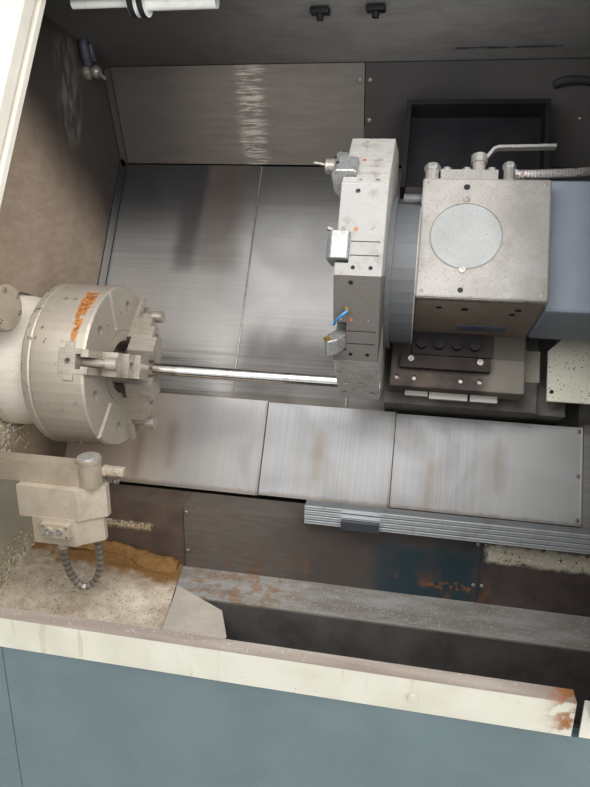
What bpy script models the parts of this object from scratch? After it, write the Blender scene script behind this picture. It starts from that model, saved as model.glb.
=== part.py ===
"""Slant-bed CNC turning lathe, seen with its front door slid open.

Three frames are used. The machine frame stands on the floor. The spindle frame has its
origin where the spindle axis meets the chuck's face, with X along the axis, away from the
headstock. The bed frame shares that origin and X, and is tilted so that its Y climbs the
slanted bed and its Z points out of the bed, towards the operator.
"""
import bmesh
import bpy
from math import asin, atan2, cos, hypot, pi, radians, sin, tan
from mathutils import Matrix, Vector

# Overall size and where the spindle axis lies
LENGTH = 2.900
AXIS_HEIGHT = 1.150
SHELL_TOP = 0.740
SHELL_REAR = 0.930
CABINET_DEPTH = 0.200
HEADSTOCK_SIDE = 1.100
SLANT = radians(60.0)

# General fits and sheet
GAP = 0.0003
SHEET = 0.003
COVER_SHEET = 0.002
LAP = 0.0005

# Working space, in spindle frame X and bed frame Y (up the slant) and Z (out of the bed)
WALL_LEFT = -0.220
WALL_RIGHT = 1.320
UPPER_PLANE = -0.280
LOWER_PLANE = -0.235
CREASE = 0.620
COVER_BOTTOM = -0.212
DOOR_PLANE = 0.300
HEADER_START = 0.590
HEADER_END = 0.6235
TOP_PANEL_RISE = 0.229
TOP_PANEL_LEAN = radians(72.6)
CEILING_FRONT = (0.075, 0.692)
PANEL_SEAM = 0.405

# Front opening, sill and base
OPENING_LEFT = -0.120
OPENING_RIGHT = 0.800
JAMB_DEPTH = 0.012
SILL_TOP = -0.252
SILL_BAND = 0.0515
SILL_FRONT = -0.453
SILL_BACK = -0.430
BASE_FRONT = -0.450
BASE_BOTTOM = -1.060

# Bed casting
BED_PLANE = -0.400
WAY_HEIGHT = 0.050
WAY_WIDTH = 0.070
UPPER_WAY = 0.400
LOWER_WAY = -0.200
BED_FLOOR = -1.080
TUB_TOP = -0.690
BED_BACK = 0.860
BED_TOE = -0.400
BED_LENGTH_MARGIN = 0.040
FOOT_RADIUS = 0.050
FOOT_PAD = 0.025
FOOT_SCREW = 0.016

# Trough, ledge and lower panel
TROUGH_BACK = -0.0845
LEDGE_FRONT = -0.081
LEDGE_TOP = -0.450
LEDGE_BACK = 0.060
LEDGE_DROP = 0.110
PANEL_FACE = 0.020
PANEL_TOP = -0.305
PANEL_FLANGE = 0.070
RAIL_START = 0.370
RAIL_DEPTH = 0.027
RAIL_HEIGHT = 0.042
RAIL_RIBS = 4

# Spindle and headstock
BORE_RADIUS = 0.045
SPINDLE_RADIUS = 0.070
FLANGE_RADIUS = 0.110
HEADSTOCK_LENGTH = 0.660
HEADSTOCK_HALF = 0.250
HEADSTOCK_TOP = 0.190
NOSE_RADIUS = 0.130
NOSE_FRONT_RADIUS = 0.121
PULLEY_RADIUS = 0.120
PULLEY_WIDTH = 0.060
MOTOR_PULLEY_RADIUS = 0.080
MOTOR_RADIUS = 0.150
MOTOR_LENGTH = 0.420
MOTOR_AXIS = (-0.170, -0.500)
BELT_THICKNESS = 0.008

# Chuck
CHUCK_RADIUS = 0.1575
CHUCK_LENGTH = 0.122
CHUCK_BORE = 0.052
RING_RADIUS = 0.072
JAW_ANGLE = 18.0
JAW_COUNT = 3
SLOT_DEPTH = 0.048
SLOT_HALF = 0.0225
WING_HALF = 0.0345
WING_NEAR = 0.019
WING_FAR = 0.037
SLOT_FIT = 0.0004
JAW_INNER = 0.058
JAW_PROUD = 0.008
GRIP_RADIUS = 0.0165
JAW_STEPS = ((0.108, 0.040), (0.086, 0.051), (0.060, 0.062))
BOLT_CIRCLE = 0.120
BOLT_HOLE = 0.0105
JAW_SCREW_RADIUS = 0.126
JAW_SCREW_HEAD = 0.0120
JAW_SCREW_SHANK = 0.0075
JAW_SCREW_LIFT = 0.022
JAW_SCREW_HEAD_LENGTH = 0.020

# Turret disc and tools
TURRET_RADIUS = 0.242
TURRET_RISE = 0.218
TURRET_LEFT = 0.430
TURRET_THICK = 0.075
STATIONS = 10
STATION_OFFSET = 12.0
HUB_RADIUS = 0.105
HUB_THICK = 0.014
COLLAR_RADIUS = 0.142
COLLAR_THICK = 0.010
SHAFT_RADIUS = 0.130
BAR_RADIUS = 0.0115
BAR_START = 0.065
NOTCH_DEPTH = 0.045
NOTCH_WIDTH = 0.0215
NOTCH_SHARES = (0.13, 0.465)

# Turret head on its cross slide
HOUSING_X = (0.556, 0.776)
HOUSING_U = (0.137, 0.362)
HOUSING_FRONT = 0.100
SLIDE_FRONT = -0.100
SLIDE_BACK = -0.158
SLIDE_U = (0.024, 0.460)
SLIDE_X = (0.518, 0.776)
COVER_DISC = (0.636, 0.251, 0.061)
MOTOR_COVER_X = 0.960
MOTOR_COVER_U = (0.135, 0.385)
MOTOR_COVER_N = (-0.095, 0.060)
VALVE_X = 0.655
VALVE_N = 0.055
VALVE_HEIGHT = 0.055
HOSE_PORT = (0.709, 0.035)
GLAND_X = 0.930
LEVER_LENGTH = 0.134
HOSE_RADIUS = 0.0085

# Saddle and the X cover over it
SADDLE_X = (0.507, 0.811)
SADDLE_U = (0.004, 0.679)
SADDLE_PLATE_X = (0.450, 0.960)
SADDLE_PLATE_N = (-0.3497, -0.300)
COLUMN_FRONT = -0.170
FRAME_FRONT = -0.120
FRAME_WALL = 0.010
FRAME_TOP_BAR = 0.012
FRAME_START = 0.470

# Telescopic covers: where each visible edge lies at rest
LOWER_SEAMS = (0.247, 0.533, 0.919)
LOWER_STARTS = (0.040, 0.330)
UPPER_SEAMS = (0.150, 0.420)
UPPER_STARTS = (-0.065, 0.220)
COVER_RIGHT_END = 1.400

# Door
DOOR_WIDTH = 0.945
DOOR_U = (-0.460, 0.578)
DOOR_THICK = 0.035
DOOR_REST = -1.070
WINDOW_MARGIN = 0.200
WINDOW_FIT = 0.0015
GLASS = 0.008
HANDLE_STAND = 0.045
RAIL_LIP = 0.028

# Tool setter on the headstock wall
SETTER_PIVOT = (0.012, -0.180)
SETTER_TOP = -0.120
SETTER_ARM_Z = (-0.170, -0.128)
SETTER_HEAD_Z = (-0.231, SETTER_ARM_Z[0] - GAP)
SETTER_FOOT_Z = -0.281
SETTER_HUB = (-0.138, 0.134, 0.042)
SETTER_COLUMN = -0.178
SETTER_REACH = 0.130
CONDUIT_RADIUS = 0.0070

# Cabinet and coolant tank behind the machine
CABINET_X = (-0.950, 0.250)
CABINET_FOOT = 0.170
CABINET_HEIGHT = 1.540
TANK_X = (0.420, 1.500)
TANK_HEIGHT = 0.330
PUMP_X = 0.620
PUMP_RADIUS = 0.060
PUMP_HEIGHT = 0.260

# Plate on the saddle's side
SIDE_PLATE_X = (0.8275, 0.962)
SIDE_PLATE_U = (0.027, 0.205)
SIDE_PLATE_CUT = 0.055

# Operator's console
CONSOLE_X = (1.020, 1.560)
CONSOLE_Z = (-0.050, 0.450)
CONSOLE_FRONT = -0.520
CONSOLE_LEDGE = 0.030
BUTTON_TRAVEL = 0.006
BUTTON_SEAT = -0.008
STEM_RADIUS = 0.008


def clear_scene():
    for obj in list(bpy.data.objects):
        bpy.data.objects.remove(obj, do_unlink=True)


def material(name, colour, roughness, metallic=0.0):
    mat = bpy.data.materials.new(name)
    mat.use_nodes = True
    shader = mat.node_tree.nodes["Principled BSDF"]
    shader.inputs["Base Color"].default_value = (*colour, 1.0)
    shader.inputs["Roughness"].default_value = roughness
    shader.inputs["Metallic"].default_value = metallic
    return mat


clear_scene()
CREAM = material("cream_paint", (0.74, 0.71, 0.60), 0.45)
TEAL = material("teal_paint", (0.10, 0.19, 0.21), 0.45)
BEIGE = material("beige_casting", (0.46, 0.42, 0.35), 0.55)
IRON = material("cast_iron", (0.16, 0.16, 0.15), 0.60, 0.6)
STAINLESS = material("stainless_sheet", (0.42, 0.40, 0.37), 0.35, 1.0)
DULL = material("dull_sheet", (0.20, 0.18, 0.16), 0.50, 0.8)
STEEL = material("machined_steel", (0.55, 0.53, 0.49), 0.35, 1.0)
HARD = material("hardened_steel", (0.32, 0.31, 0.29), 0.30, 1.0)
SLATE = material("slate_paint", (0.14, 0.17, 0.21), 0.50)
BLACK = material("black_cover", (0.015, 0.015, 0.018), 0.50)
ALUMINIUM = material("aluminium", (0.62, 0.62, 0.62), 0.35, 1.0)
RUSTY = material("rusty_sheet", (0.30, 0.22, 0.15), 0.75, 0.3)
RUBBER = material("rubber", (0.02, 0.02, 0.02), 0.80)
GLASS_CLEAR = material("window_glass", (0.55, 0.62, 0.60), 0.08)
LAMP = material("lamp_tube", (0.85, 0.85, 0.82), 0.30)
RED = material("red_plastic", (0.50, 0.02, 0.02), 0.40)


def empty(name, location=(0.0, 0.0, 0.0), tilt=0.0, parent=None):
    """An empty at a place, turned about X by tilt."""
    obj = bpy.data.objects.new(name, None)
    bpy.context.scene.collection.objects.link(obj)
    obj.location = location
    obj.rotation_euler = (tilt, 0.0, 0.0)
    obj.parent = parent
    return obj


FACE_X = -LENGTH / 2 + HEADSTOCK_SIDE
AXIS_Y = (CONSOLE_LEDGE - CONSOLE_FRONT - SHELL_REAR - CABINET_DEPTH) / 2
SPINDLE = empty("spindle_frame", (FACE_X, AXIS_Y, AXIS_HEIGHT))
BED = empty("bed_frame", tilt=SLANT, parent=SPINDLE)
TURRET = empty("turret_axis", (0.0, TURRET_RISE, 0.0), parent=BED)
OUTER_LEFT = -HEADSTOCK_SIDE
OUTER_RIGHT = LENGTH - HEADSTOCK_SIDE


def from_bed(u, n):
    """Spindle-frame (y, z) of a bed-frame (y, z)."""
    return (u * cos(SLANT) - n * sin(SLANT), u * sin(SLANT) + n * cos(SLANT))


def on_plane(n, z):
    """Spindle-frame (y, z) of the point at height z on the bed-frame plane n."""
    return ((z * cos(SLANT) - n) / sin(SLANT), z)


def add_object(name, bm, mat, parent):
    bmesh.ops.recalc_face_normals(bm, faces=bm.faces[:])
    mesh = bpy.data.meshes.new(name)
    bm.to_mesh(mesh)
    bm.free()
    obj = bpy.data.objects.new(name, mesh)
    bpy.context.scene.collection.objects.link(obj)
    obj.parent = parent
    if mat:
        mesh.materials.append(mat)
    return obj


def smooth(obj, angle=32.0):
    obj.data.shade_smooth()
    obj.data.set_sharp_from_angle(angle=radians(angle))
    return obj


def prism_into(bm, outline, span, along="x"):
    """Add a closed outline, extruded along one axis, to a mesh under construction."""
    place = {
        "x": lambda a, b, c: (c, a, b),
        "y": lambda a, b, c: (a, c, b),
        "z": lambda a, b, c: (a, b, c),
    }[along]
    rings = []
    for c in span:
        rings.append([bm.verts.new(place(a, b, c)) for a, b in outline])
    count = len(outline)
    bm.faces.new(rings[0])
    bm.faces.new(list(reversed(rings[1])))
    for i in range(count):
        j = (i + 1) % count
        bm.faces.new((rings[0][i], rings[1][i], rings[1][j], rings[0][j]))


def prism(name, outline, span, mat, parent, along="x"):
    bm = bmesh.new()
    prism_into(bm, outline, span, along)
    return add_object(name, bm, mat, parent)


def rectangle(a, b):
    return [(a[0], b[0]), (a[1], b[0]), (a[1], b[1]), (a[0], b[1])]


def block(name, x, y, z, mat, parent, bevel=0.0):
    obj = prism(name, rectangle(y, z), x, mat, parent)
    if bevel:
        round_edges(obj, bevel)
    return obj


def round_edges(obj, width, segments=2):
    mod = obj.modifiers.new("rounded", "BEVEL")
    mod.width = width
    mod.segments = segments
    mod.limit_method = "ANGLE"
    mod.angle_limit = radians(40.0)


def offset_path(path, distance):
    """A path moved sideways, to its left, with mitred corners."""
    moved = []
    for i, (a, b) in enumerate(path):
        before = path[max(i - 1, 0)]
        after = path[min(i + 1, len(path) - 1)]
        normals = []
        for (p, q), (r, s) in ((before, (a, b)), ((a, b), after)):
            run = hypot(r - p, s - q)
            if run > 0.0:
                normals.append((-(s - q) / run, (r - p) / run))
        na = sum(n[0] for n in normals) / len(normals)
        nb = sum(n[1] for n in normals) / len(normals)
        scale = distance / (na * na + nb * nb)
        moved.append((a + na * scale, b + nb * scale))
    return moved


def folded(name, path, span, thickness, mat, parent, along="x"):
    """A folded sheet. Its given path is one face, and its thickness lies to the left."""
    outline = list(path) + list(reversed(offset_path(path, thickness)))
    return prism(name, outline, span, mat, parent, along)


def turned_into(bm, profile, sides, centre=(0.0, 0.0)):
    """Add a profile of (x, radius) points, spun about an axis along X, to a mesh."""
    verts = [bm.verts.new((x, centre[0], centre[1] + r)) for x, r in profile]
    edges = [bm.edges.new((verts[i], verts[i + 1])) for i in range(len(verts) - 1)]
    if profile[0][1] > 0.0:
        edges.append(bm.edges.new((verts[-1], verts[0])))
    bmesh.ops.spin(
        bm, geom=verts + edges, cent=(0.0, centre[0], centre[1]), axis=(1.0, 0.0, 0.0),
        angle=2.0 * pi, steps=sides, use_merge=True, use_duplicate=False,
    )
    bmesh.ops.remove_doubles(bm, verts=bm.verts[:], dist=0.00002)


def turned(name, profile, mat, parent, sides=48, centre=(0.0, 0.0)):
    bm = bmesh.new()
    turned_into(bm, profile, sides, centre)
    return smooth(add_object(name, bm, mat, parent))


def rod_into(bm, start, end, radius, sides=16):
    """Add a plain cylinder between two points to a mesh."""
    start = Vector(start)
    end = Vector(end)
    run = end - start
    turn = run.to_track_quat("Z", "Y").to_matrix().to_4x4()
    place = Matrix.Translation((start + end) / 2) @ turn
    bmesh.ops.create_cone(
        bm, cap_ends=True, segments=sides, radius1=radius, radius2=radius,
        depth=run.length, matrix=place,
    )


def rods(name, pieces, mat, parent, sides=16):
    """Several cylinders in one mesh, as (start, end, radius)."""
    bm = bmesh.new()
    for start, end, radius in pieces:
        rod_into(bm, start, end, radius, sides)
    return add_object(name, bm, mat, parent)


def combine(obj, other, operation):
    mod = obj.modifiers.new(other.name, "BOOLEAN")
    mod.operation = operation
    mod.solver = "EXACT"
    mod.object = other
    other.hide_render = True
    other.display_type = "WIRE"
    return obj


def cut(obj, cutter):
    return combine(obj, cutter, "DIFFERENCE")


def fuse(obj, other):
    return combine(obj, other, "UNION")


def tube(name, route, radius, mat, parent, count=40, resolution=3):
    """A round tube along a smooth curve through the route's points."""
    points = [Vector(p) for p in route]
    padded = [2 * points[0] - points[1], *points, 2 * points[-1] - points[-2]]
    spans = len(points) - 1
    samples = []
    for i in range(count + 1):
        t = i / count * spans
        k = min(int(t), spans - 1)
        f = t - k
        p0, p1, p2, p3 = padded[k:k + 4]
        samples.append(0.5 * (
            2 * p1 + (p2 - p0) * f + (2 * p0 - 5 * p1 + 4 * p2 - p3) * f * f
            + (3 * p1 - p0 - 3 * p2 + p3) * f * f * f
        ))
    curve = bpy.data.curves.new(name, "CURVE")
    curve.dimensions = "3D"
    curve.bevel_depth = radius
    curve.bevel_resolution = resolution
    curve.use_fill_caps = True
    spline = curve.splines.new("POLY")
    spline.points.add(len(samples) - 1)
    for point, place in zip(spline.points, samples):
        point.co = (*place, 1.0)
    curve.materials.append(mat)
    obj = bpy.data.objects.new(name, curve)
    bpy.context.scene.collection.objects.link(obj)
    obj.parent = parent
    return obj


def build_bed():
    way_top = BED_PLANE + WAY_HEIGHT
    outline = [
        (BED_TOE, BED_FLOOR), (BED_BACK, BED_FLOOR),
        (BED_BACK, from_bed(CREASE, BED_PLANE)[1]), from_bed(CREASE, BED_PLANE),
        from_bed(UPPER_WAY + WAY_WIDTH, BED_PLANE), from_bed(UPPER_WAY + WAY_WIDTH, way_top),
        from_bed(UPPER_WAY, way_top), from_bed(UPPER_WAY, BED_PLANE),
        from_bed(LOWER_WAY + WAY_WIDTH, BED_PLANE), from_bed(LOWER_WAY + WAY_WIDTH, way_top),
        from_bed(LOWER_WAY, way_top), from_bed(LOWER_WAY, BED_PLANE),
        (from_bed(LOWER_WAY - WAY_WIDTH, BED_PLANE)[0], TUB_TOP), (BED_TOE, TUB_TOP),
    ]
    ends = (OUTER_LEFT + BED_LENGTH_MARGIN, OUTER_RIGHT - BED_LENGTH_MARGIN)
    bed = prism("bed_casting", outline, ends, IRON, SPINDLE)
    feet = []
    for x in (ends[0] + 0.12, (ends[0] + ends[1]) / 2, ends[1] - 0.12):
        for y in (BED_TOE + 0.07, BED_BACK - 0.07):
            pad = -AXIS_HEIGHT + FOOT_PAD
            feet.append(((x, y, -AXIS_HEIGHT), (x, y, pad), FOOT_RADIUS))
            feet.append(((x, y, pad - 0.005), (x, y, BED_FLOOR + 0.02), FOOT_SCREW))
    pads = rods("levelling_pads", feet[0::2], None, SPINDLE, sides=16)
    screws = rods("levelling_screws", feet[1::2], None, SPINDLE, sides=10)
    fuse(fuse(bed, screws), pads)


def build_trough():
    inside = (WALL_LEFT + LAP, WALL_RIGHT - LAP)
    floor = TUB_TOP + SHEET + LAP
    folded("chip_trough", [
        (SILL_BACK, SILL_TOP - SILL_BAND - 0.0015), (SILL_BACK, floor), (TROUGH_BACK, floor),
        (TROUGH_BACK, LEDGE_TOP - SHEET - LAP),
    ], inside, -SHEET, DULL, SPINDLE)
    folded("rear_ledge", [
        (LEDGE_FRONT, LEDGE_TOP - LEDGE_DROP), (LEDGE_FRONT, LEDGE_TOP),
        (LEDGE_BACK, LEDGE_TOP), (LEDGE_BACK, LEDGE_TOP - 0.05),
    ], inside, -SHEET, DULL, SPINDLE)
    folded("lower_panel", [
        (PANEL_FACE, LEDGE_TOP + GAP), (PANEL_FACE, PANEL_TOP),
        (PANEL_FACE + PANEL_FLANGE, PANEL_TOP), (PANEL_FACE + PANEL_FLANGE, PANEL_TOP - 0.03),
    ], inside, -SHEET, DULL, SPINDLE)
    build_rail()
    build_chute()


def build_rail():
    """Ribbed aluminium rail that stands on the lower panel's flange, with its trip block."""
    front = PANEL_FACE - 0.020
    base = PANEL_TOP + GAP
    pitch = RAIL_HEIGHT / RAIL_RIBS
    outline = [(front + RAIL_DEPTH, base), (front + RAIL_DEPTH, base + RAIL_HEIGHT)]
    for rib in reversed(range(RAIL_RIBS)):
        low = base + rib * pitch
        outline += [(front, low + pitch), (front, low + 0.35 * pitch)]
        outline += [(front + 0.006, low + 0.30 * pitch), (front + 0.006, low)]
    end = WALL_RIGHT - LAP
    rail = prism("ribbed_rail", outline, (RAIL_START, end), ALUMINIUM, SPINDLE)
    block_x = (RAIL_START + 0.075, RAIL_START + 0.150)
    trip = block("rail_trip_block", block_x, (front - 0.012, front + 0.004),
                 (base + 0.004, base + 0.022), BLACK, SPINDLE)
    fuse(rail, trip)


def build_chute():
    """Plate at the headstock end that sheds chips into the trough."""
    left = WALL_LEFT + LAP
    rows = [
        [(left, PANEL_FACE - LAP, LEDGE_TOP + 0.055), (0.100, PANEL_FACE - LAP, LEDGE_TOP + 0.0045)],
        [(left, LEDGE_FRONT - 0.003, LEDGE_TOP + 0.035), (0.118, LEDGE_FRONT - 0.003, LEDGE_TOP + 0.0038)],
        [(left, SILL_BACK + 0.003, LEDGE_TOP - 0.050), (0.170, SILL_BACK + 0.003, LEDGE_TOP - 0.085)],
    ]
    bm = bmesh.new()
    top = [[bm.verts.new(p) for p in row] for row in rows]
    low = [[bm.verts.new((x, y, z - SHEET)) for x, y, z in row] for row in rows]
    for i in range(len(rows) - 1):
        bm.faces.new((top[i][0], top[i][1], top[i + 1][1], top[i + 1][0]))
        bm.faces.new((low[i][0], low[i + 1][0], low[i + 1][1], low[i][1]))
        for side in (0, 1):
            bm.faces.new((top[i][side], top[i + 1][side], low[i + 1][side], low[i][side]))
    for end in (0, -1):
        bm.faces.new((top[end][0], top[end][1], low[end][1], low[end][0]))
    bmesh.ops.triangulate(bm, faces=bm.faces[:])
    add_object("chip_chute", bm, RUSTY, SPINDLE)


def wall_outline():
    """Section of the working space, just inside the enclosure and outside the covers."""
    inner = DOOR_PLANE - SHEET - LAP
    behind = UPPER_PLANE - 0.018
    ceiling_top = SHELL_TOP - SHEET - LAP
    top_back = from_bed(CREASE, UPPER_PLANE)[0] + 0.06
    return [
        (SILL_BACK + 0.003, TUB_TOP + 0.002), (SILL_BACK + 0.003, SILL_TOP + SHEET + LAP),
        on_plane(inner, SILL_TOP + SHEET + LAP), on_plane(inner, from_bed(HEADER_END, inner)[1]),
        (on_plane(inner, from_bed(HEADER_END, inner)[1])[0], ceiling_top),
        (top_back, ceiling_top), (top_back, from_bed(CREASE, behind)[1]),
        from_bed(CREASE, behind), from_bed(COVER_BOTTOM - 0.03, behind),
        (from_bed(COVER_BOTTOM - 0.03, behind)[0], TUB_TOP + 0.002),
    ]


def build_walls():
    left = prism("wall_left", wall_outline(), (WALL_LEFT - SHEET, WALL_LEFT), STAINLESS, SPINDLE)
    hole = rods("wall_left_hole", [((WALL_LEFT - 0.02, 0, 0), (WALL_LEFT + 0.02, 0, 0),
                NOSE_RADIUS + 0.006)], None, SPINDLE, sides=48)
    cut(left, hole)
    right = prism("wall_right", wall_outline(), (WALL_RIGHT, WALL_RIGHT + SHEET), STAINLESS,
                  SPINDLE)
    slot_u = (COVER_BOTTOM - 0.04, CREASE + 0.02)
    slot = block("wall_right_slot", (WALL_RIGHT - 0.02, WALL_RIGHT + 0.02), slot_u,
                 (UPPER_PLANE - 0.05, UPPER_PLANE + 0.004), None, BED)
    low_slot = block("wall_right_low_slot", (WALL_RIGHT - 0.02, WALL_RIGHT + 0.02),
                     (COVER_BOTTOM - 0.04, 0.006), (UPPER_PLANE - 0.04, LOWER_PLANE + 0.004),
                     None, BED)
    cut(cut(right, slot), low_slot)


def top_panel_points():
    """The leaning panel over the crease: its foot and its head, in the spindle frame."""
    foot = from_bed(CREASE, UPPER_PLANE)
    head = (foot[0] - TOP_PANEL_RISE * cos(TOP_PANEL_LEAN),
            foot[1] + TOP_PANEL_RISE * sin(TOP_PANEL_LEAN))
    return foot, head


def build_top_panels():
    foot, head = top_panel_points()
    path = [(foot[0] + 0.03, foot[1] - 0.002), foot, head]
    panel = folded("top_panel", path, (WALL_LEFT + LAP, WALL_RIGHT - LAP), -SHEET, STAINLESS, SPINDLE)
    seam = prism("top_panel_seam", [
        (head[0] - 0.01, head[1] + 0.01), (foot[0] - 0.01, foot[1] + 0.004),
        (foot[0] + 0.0012, foot[1] + 0.004), (head[0] + 0.0012, head[1] + 0.01),
    ], (PANEL_SEAM - 0.001, PANEL_SEAM + 0.001), None, SPINDLE)
    cut(panel, seam)
    ceiling = [(head[0] + 0.03, head[1] + 0.002), (head[0], head[1] + 0.002), CEILING_FRONT]
    folded("ceiling_panel", ceiling, (WALL_LEFT + LAP, WALL_RIGHT - LAP), -SHEET, DULL, SPINDLE)
    lamp_y = CEILING_FRONT[0] + 0.025
    slope = (head[1] + 0.002 - CEILING_FRONT[1]) / (head[0] - CEILING_FRONT[0])
    under = CEILING_FRONT[1] + slope * (lamp_y + 0.004 - CEILING_FRONT[0])
    lamp_z = under - 0.0285
    lamp = turned("lamp_tube", [
        (-0.100, 0.0), (-0.100, 0.009), (0.016, 0.009), (0.016, 0.026), (0.028, 0.026),
        (0.028, 0.021), (0.034, 0.021), (0.034, 0.026), (0.046, 0.026), (0.046, 0.016),
        (0.176, 0.016), (0.176, 0.0),
    ], LAMP, SPINDLE, 20, (lamp_y, lamp_z))
    clip = block("lamp_hanger", (0.020, 0.170), (lamp_y - 0.004, lamp_y + 0.004),
                 (lamp_z + 0.010, under - GAP), None, SPINDLE)
    fuse(lamp, clip)


def build_shell():
    """Painted enclosure: front panels, roof with rear wall, and the two ends."""
    lip_z = SILL_TOP - 0.002
    lip = on_plane(DOOR_PLANE, lip_z)
    front = [
        (BASE_FRONT, SILL_TOP - SILL_BAND - 0.002), (BASE_FRONT, lip_z), lip,
        from_bed(HEADER_START - LAP, DOOR_PLANE),
    ]
    ends = {
        "left": (OUTER_LEFT + SHEET + LAP, OPENING_LEFT),
        "right": (OPENING_RIGHT, OUTER_RIGHT - SHEET - LAP),
    }
    jambs = {
        "left": (OPENING_LEFT - SHEET, OPENING_LEFT),
        "right": (OPENING_RIGHT, OPENING_RIGHT + SHEET),
    }
    for side, span in ends.items():
        panel = folded(f"front_panel_{side}", front, span, -SHEET, CREAM, SPINDLE)
        jamb = block(f"jamb_{side}", jambs[side], (plane_climb(lip_z) + 0.004, HEADER_START - 0.006),
                     (DOOR_PLANE - JAMB_DEPTH, DOOR_PLANE - SHEET / 2), None, BED)
        fuse(panel, jamb)
    roof = [
        from_bed(HEADER_START, DOOR_PLANE), from_bed(HEADER_END, DOOR_PLANE),
        (from_bed(HEADER_END, DOOR_PLANE)[0], SHELL_TOP), (SHELL_REAR, SHELL_TOP),
        (SHELL_REAR, BASE_BOTTOM + 0.01),
    ]
    span = (OUTER_LEFT + SHEET + LAP, OUTER_RIGHT - SHEET - LAP)
    folded("roof_and_rear", roof, span, -SHEET, CREAM, SPINDLE)
    end = [
        (BASE_FRONT, BASE_BOTTOM), (BASE_FRONT, lip_z), lip,
        from_bed(HEADER_END, DOOR_PLANE), (from_bed(HEADER_END, DOOR_PLANE)[0], SHELL_TOP),
        (SHELL_REAR, SHELL_TOP), (SHELL_REAR, BASE_BOTTOM),
    ]
    for side, x in (("left", OUTER_LEFT), ("right", OUTER_RIGHT - SHEET)):
        panel = prism(f"end_panel_{side}", end, (x, x + SHEET), CREAM, SPINDLE)
        cut(panel, louvres(f"louvre_cuts_{side}", x))


def plane_climb(z):
    """Bed-frame climb of the point at height z on the door plane."""
    y, height = on_plane(DOOR_PLANE, z)
    return y * cos(SLANT) + height * sin(SLANT)


def louvres(name, x):
    """Cutter for a bank of slots low in an end panel."""
    bm = bmesh.new()
    for i in range(8):
        z = BASE_BOTTOM + 0.25 + i * 0.045
        prism_into(bm, rectangle((0.10, 0.60), (z, z + 0.014)), (x - 0.01, x + SHEET + 0.01))
    return add_object(name, bm, None, SPINDLE)


def build_base():
    inner = SILL_BACK - SHEET - GAP
    path = [
        (BED_TOE - GAP, BASE_BOTTOM), (BASE_FRONT, BASE_BOTTOM),
        (BASE_FRONT, SILL_TOP - SILL_BAND - 0.003), (inner, SILL_TOP - SILL_BAND - 0.003),
    ]
    span = (OUTER_LEFT + SHEET + LAP, OUTER_RIGHT - SHEET - LAP)
    base = folded("base_panel", path, span, -SHEET, TEAL, SPINDLE)
    seams = bmesh.new()
    for x in (0.0, OPENING_RIGHT + 0.06):
        prism_into(seams, rectangle((BASE_FRONT - 0.01, BASE_FRONT + 0.0012),
                   (BASE_BOTTOM - 0.01, SILL_TOP)), (x - 0.001, x + 0.001))
    cut(base, add_object("base_seams", seams, None, SPINDLE))
    sill = folded("door_sill", [
        (SILL_FRONT + 0.016, SILL_TOP - SILL_BAND), (SILL_FRONT, SILL_TOP - SILL_BAND),
        (SILL_FRONT, SILL_TOP), (SILL_BACK, SILL_TOP), (SILL_BACK, SILL_TOP - SILL_BAND + 0.001),
    ], (OPENING_LEFT + LAP, OPENING_RIGHT - 0.010), -SHEET, CREAM, SPINDLE)
    bolt = rods("sill_bolt", [((0.594, SILL_FRONT - 0.003, SILL_TOP - 0.029),
                (0.594, SILL_FRONT + 0.002, SILL_TOP - 0.029), 0.006)], None, SPINDLE)
    fuse(sill, bolt)


def build_left_covers():
    """Telescopic covers left of the saddle, each one step behind the one to its left."""
    step = COVER_SHEET + LAP
    lower = (
        ("lower_cover_fixed", WALL_LEFT + LAP, LOWER_SEAMS[0]),
        ("lower_cover_middle", LOWER_STARTS[0], LOWER_SEAMS[1]),
        ("lower_cover_saddle", LOWER_STARTS[1], LOWER_SEAMS[2]),
    )
    for i, (name, start, end) in enumerate(lower):
        face = LOWER_PLANE - i * step
        reach = SADDLE_PLATE_N[1] + GAP
        folded(name, [
            (COVER_BOTTOM + 0.002 * i, face - 0.03), (COVER_BOTTOM + 0.002 * i, face),
            (-i * step, face), (-i * step, reach),
        ], (start, end), -COVER_SHEET, STAINLESS, BED)
    upper = (
        ("upper_cover_fixed", WALL_LEFT + LAP, UPPER_SEAMS[0]),
        ("upper_cover_middle", UPPER_STARTS[0], UPPER_SEAMS[1]),
        ("upper_cover_saddle", UPPER_STARTS[1], SADDLE_X[0] - GAP),
    )
    for i, (name, start, end) in enumerate(upper):
        face = UPPER_PLANE - i * step
        block(name, (start, end), (SADDLE_U[0] + 0.002, CREASE - 0.004),
              (face - COVER_SHEET, face), STAINLESS, BED)


def build_right_cover():
    """Folded cover right of the saddle, which slides out behind the right wall."""
    start = LOWER_SEAMS[2] + GAP
    face = LOWER_PLANE - 0.001
    path = [
        (COVER_BOTTOM, face - 0.03), (COVER_BOTTOM, face), (0.0, face), (0.0, UPPER_PLANE),
        (CREASE - 0.004, UPPER_PLANE),
    ]
    cover = folded("cover_right", path, (SADDLE_X[1] + GAP, COVER_RIGHT_END), -COVER_SHEET,
                   STAINLESS, BED)
    window = block("cover_right_window", (SADDLE_X[1] - 0.05, start), (COVER_BOTTOM - 0.05, 0.073),
                   (UPPER_PLANE - 0.06, 0.0), None, BED)
    cut(cover, window)


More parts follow.
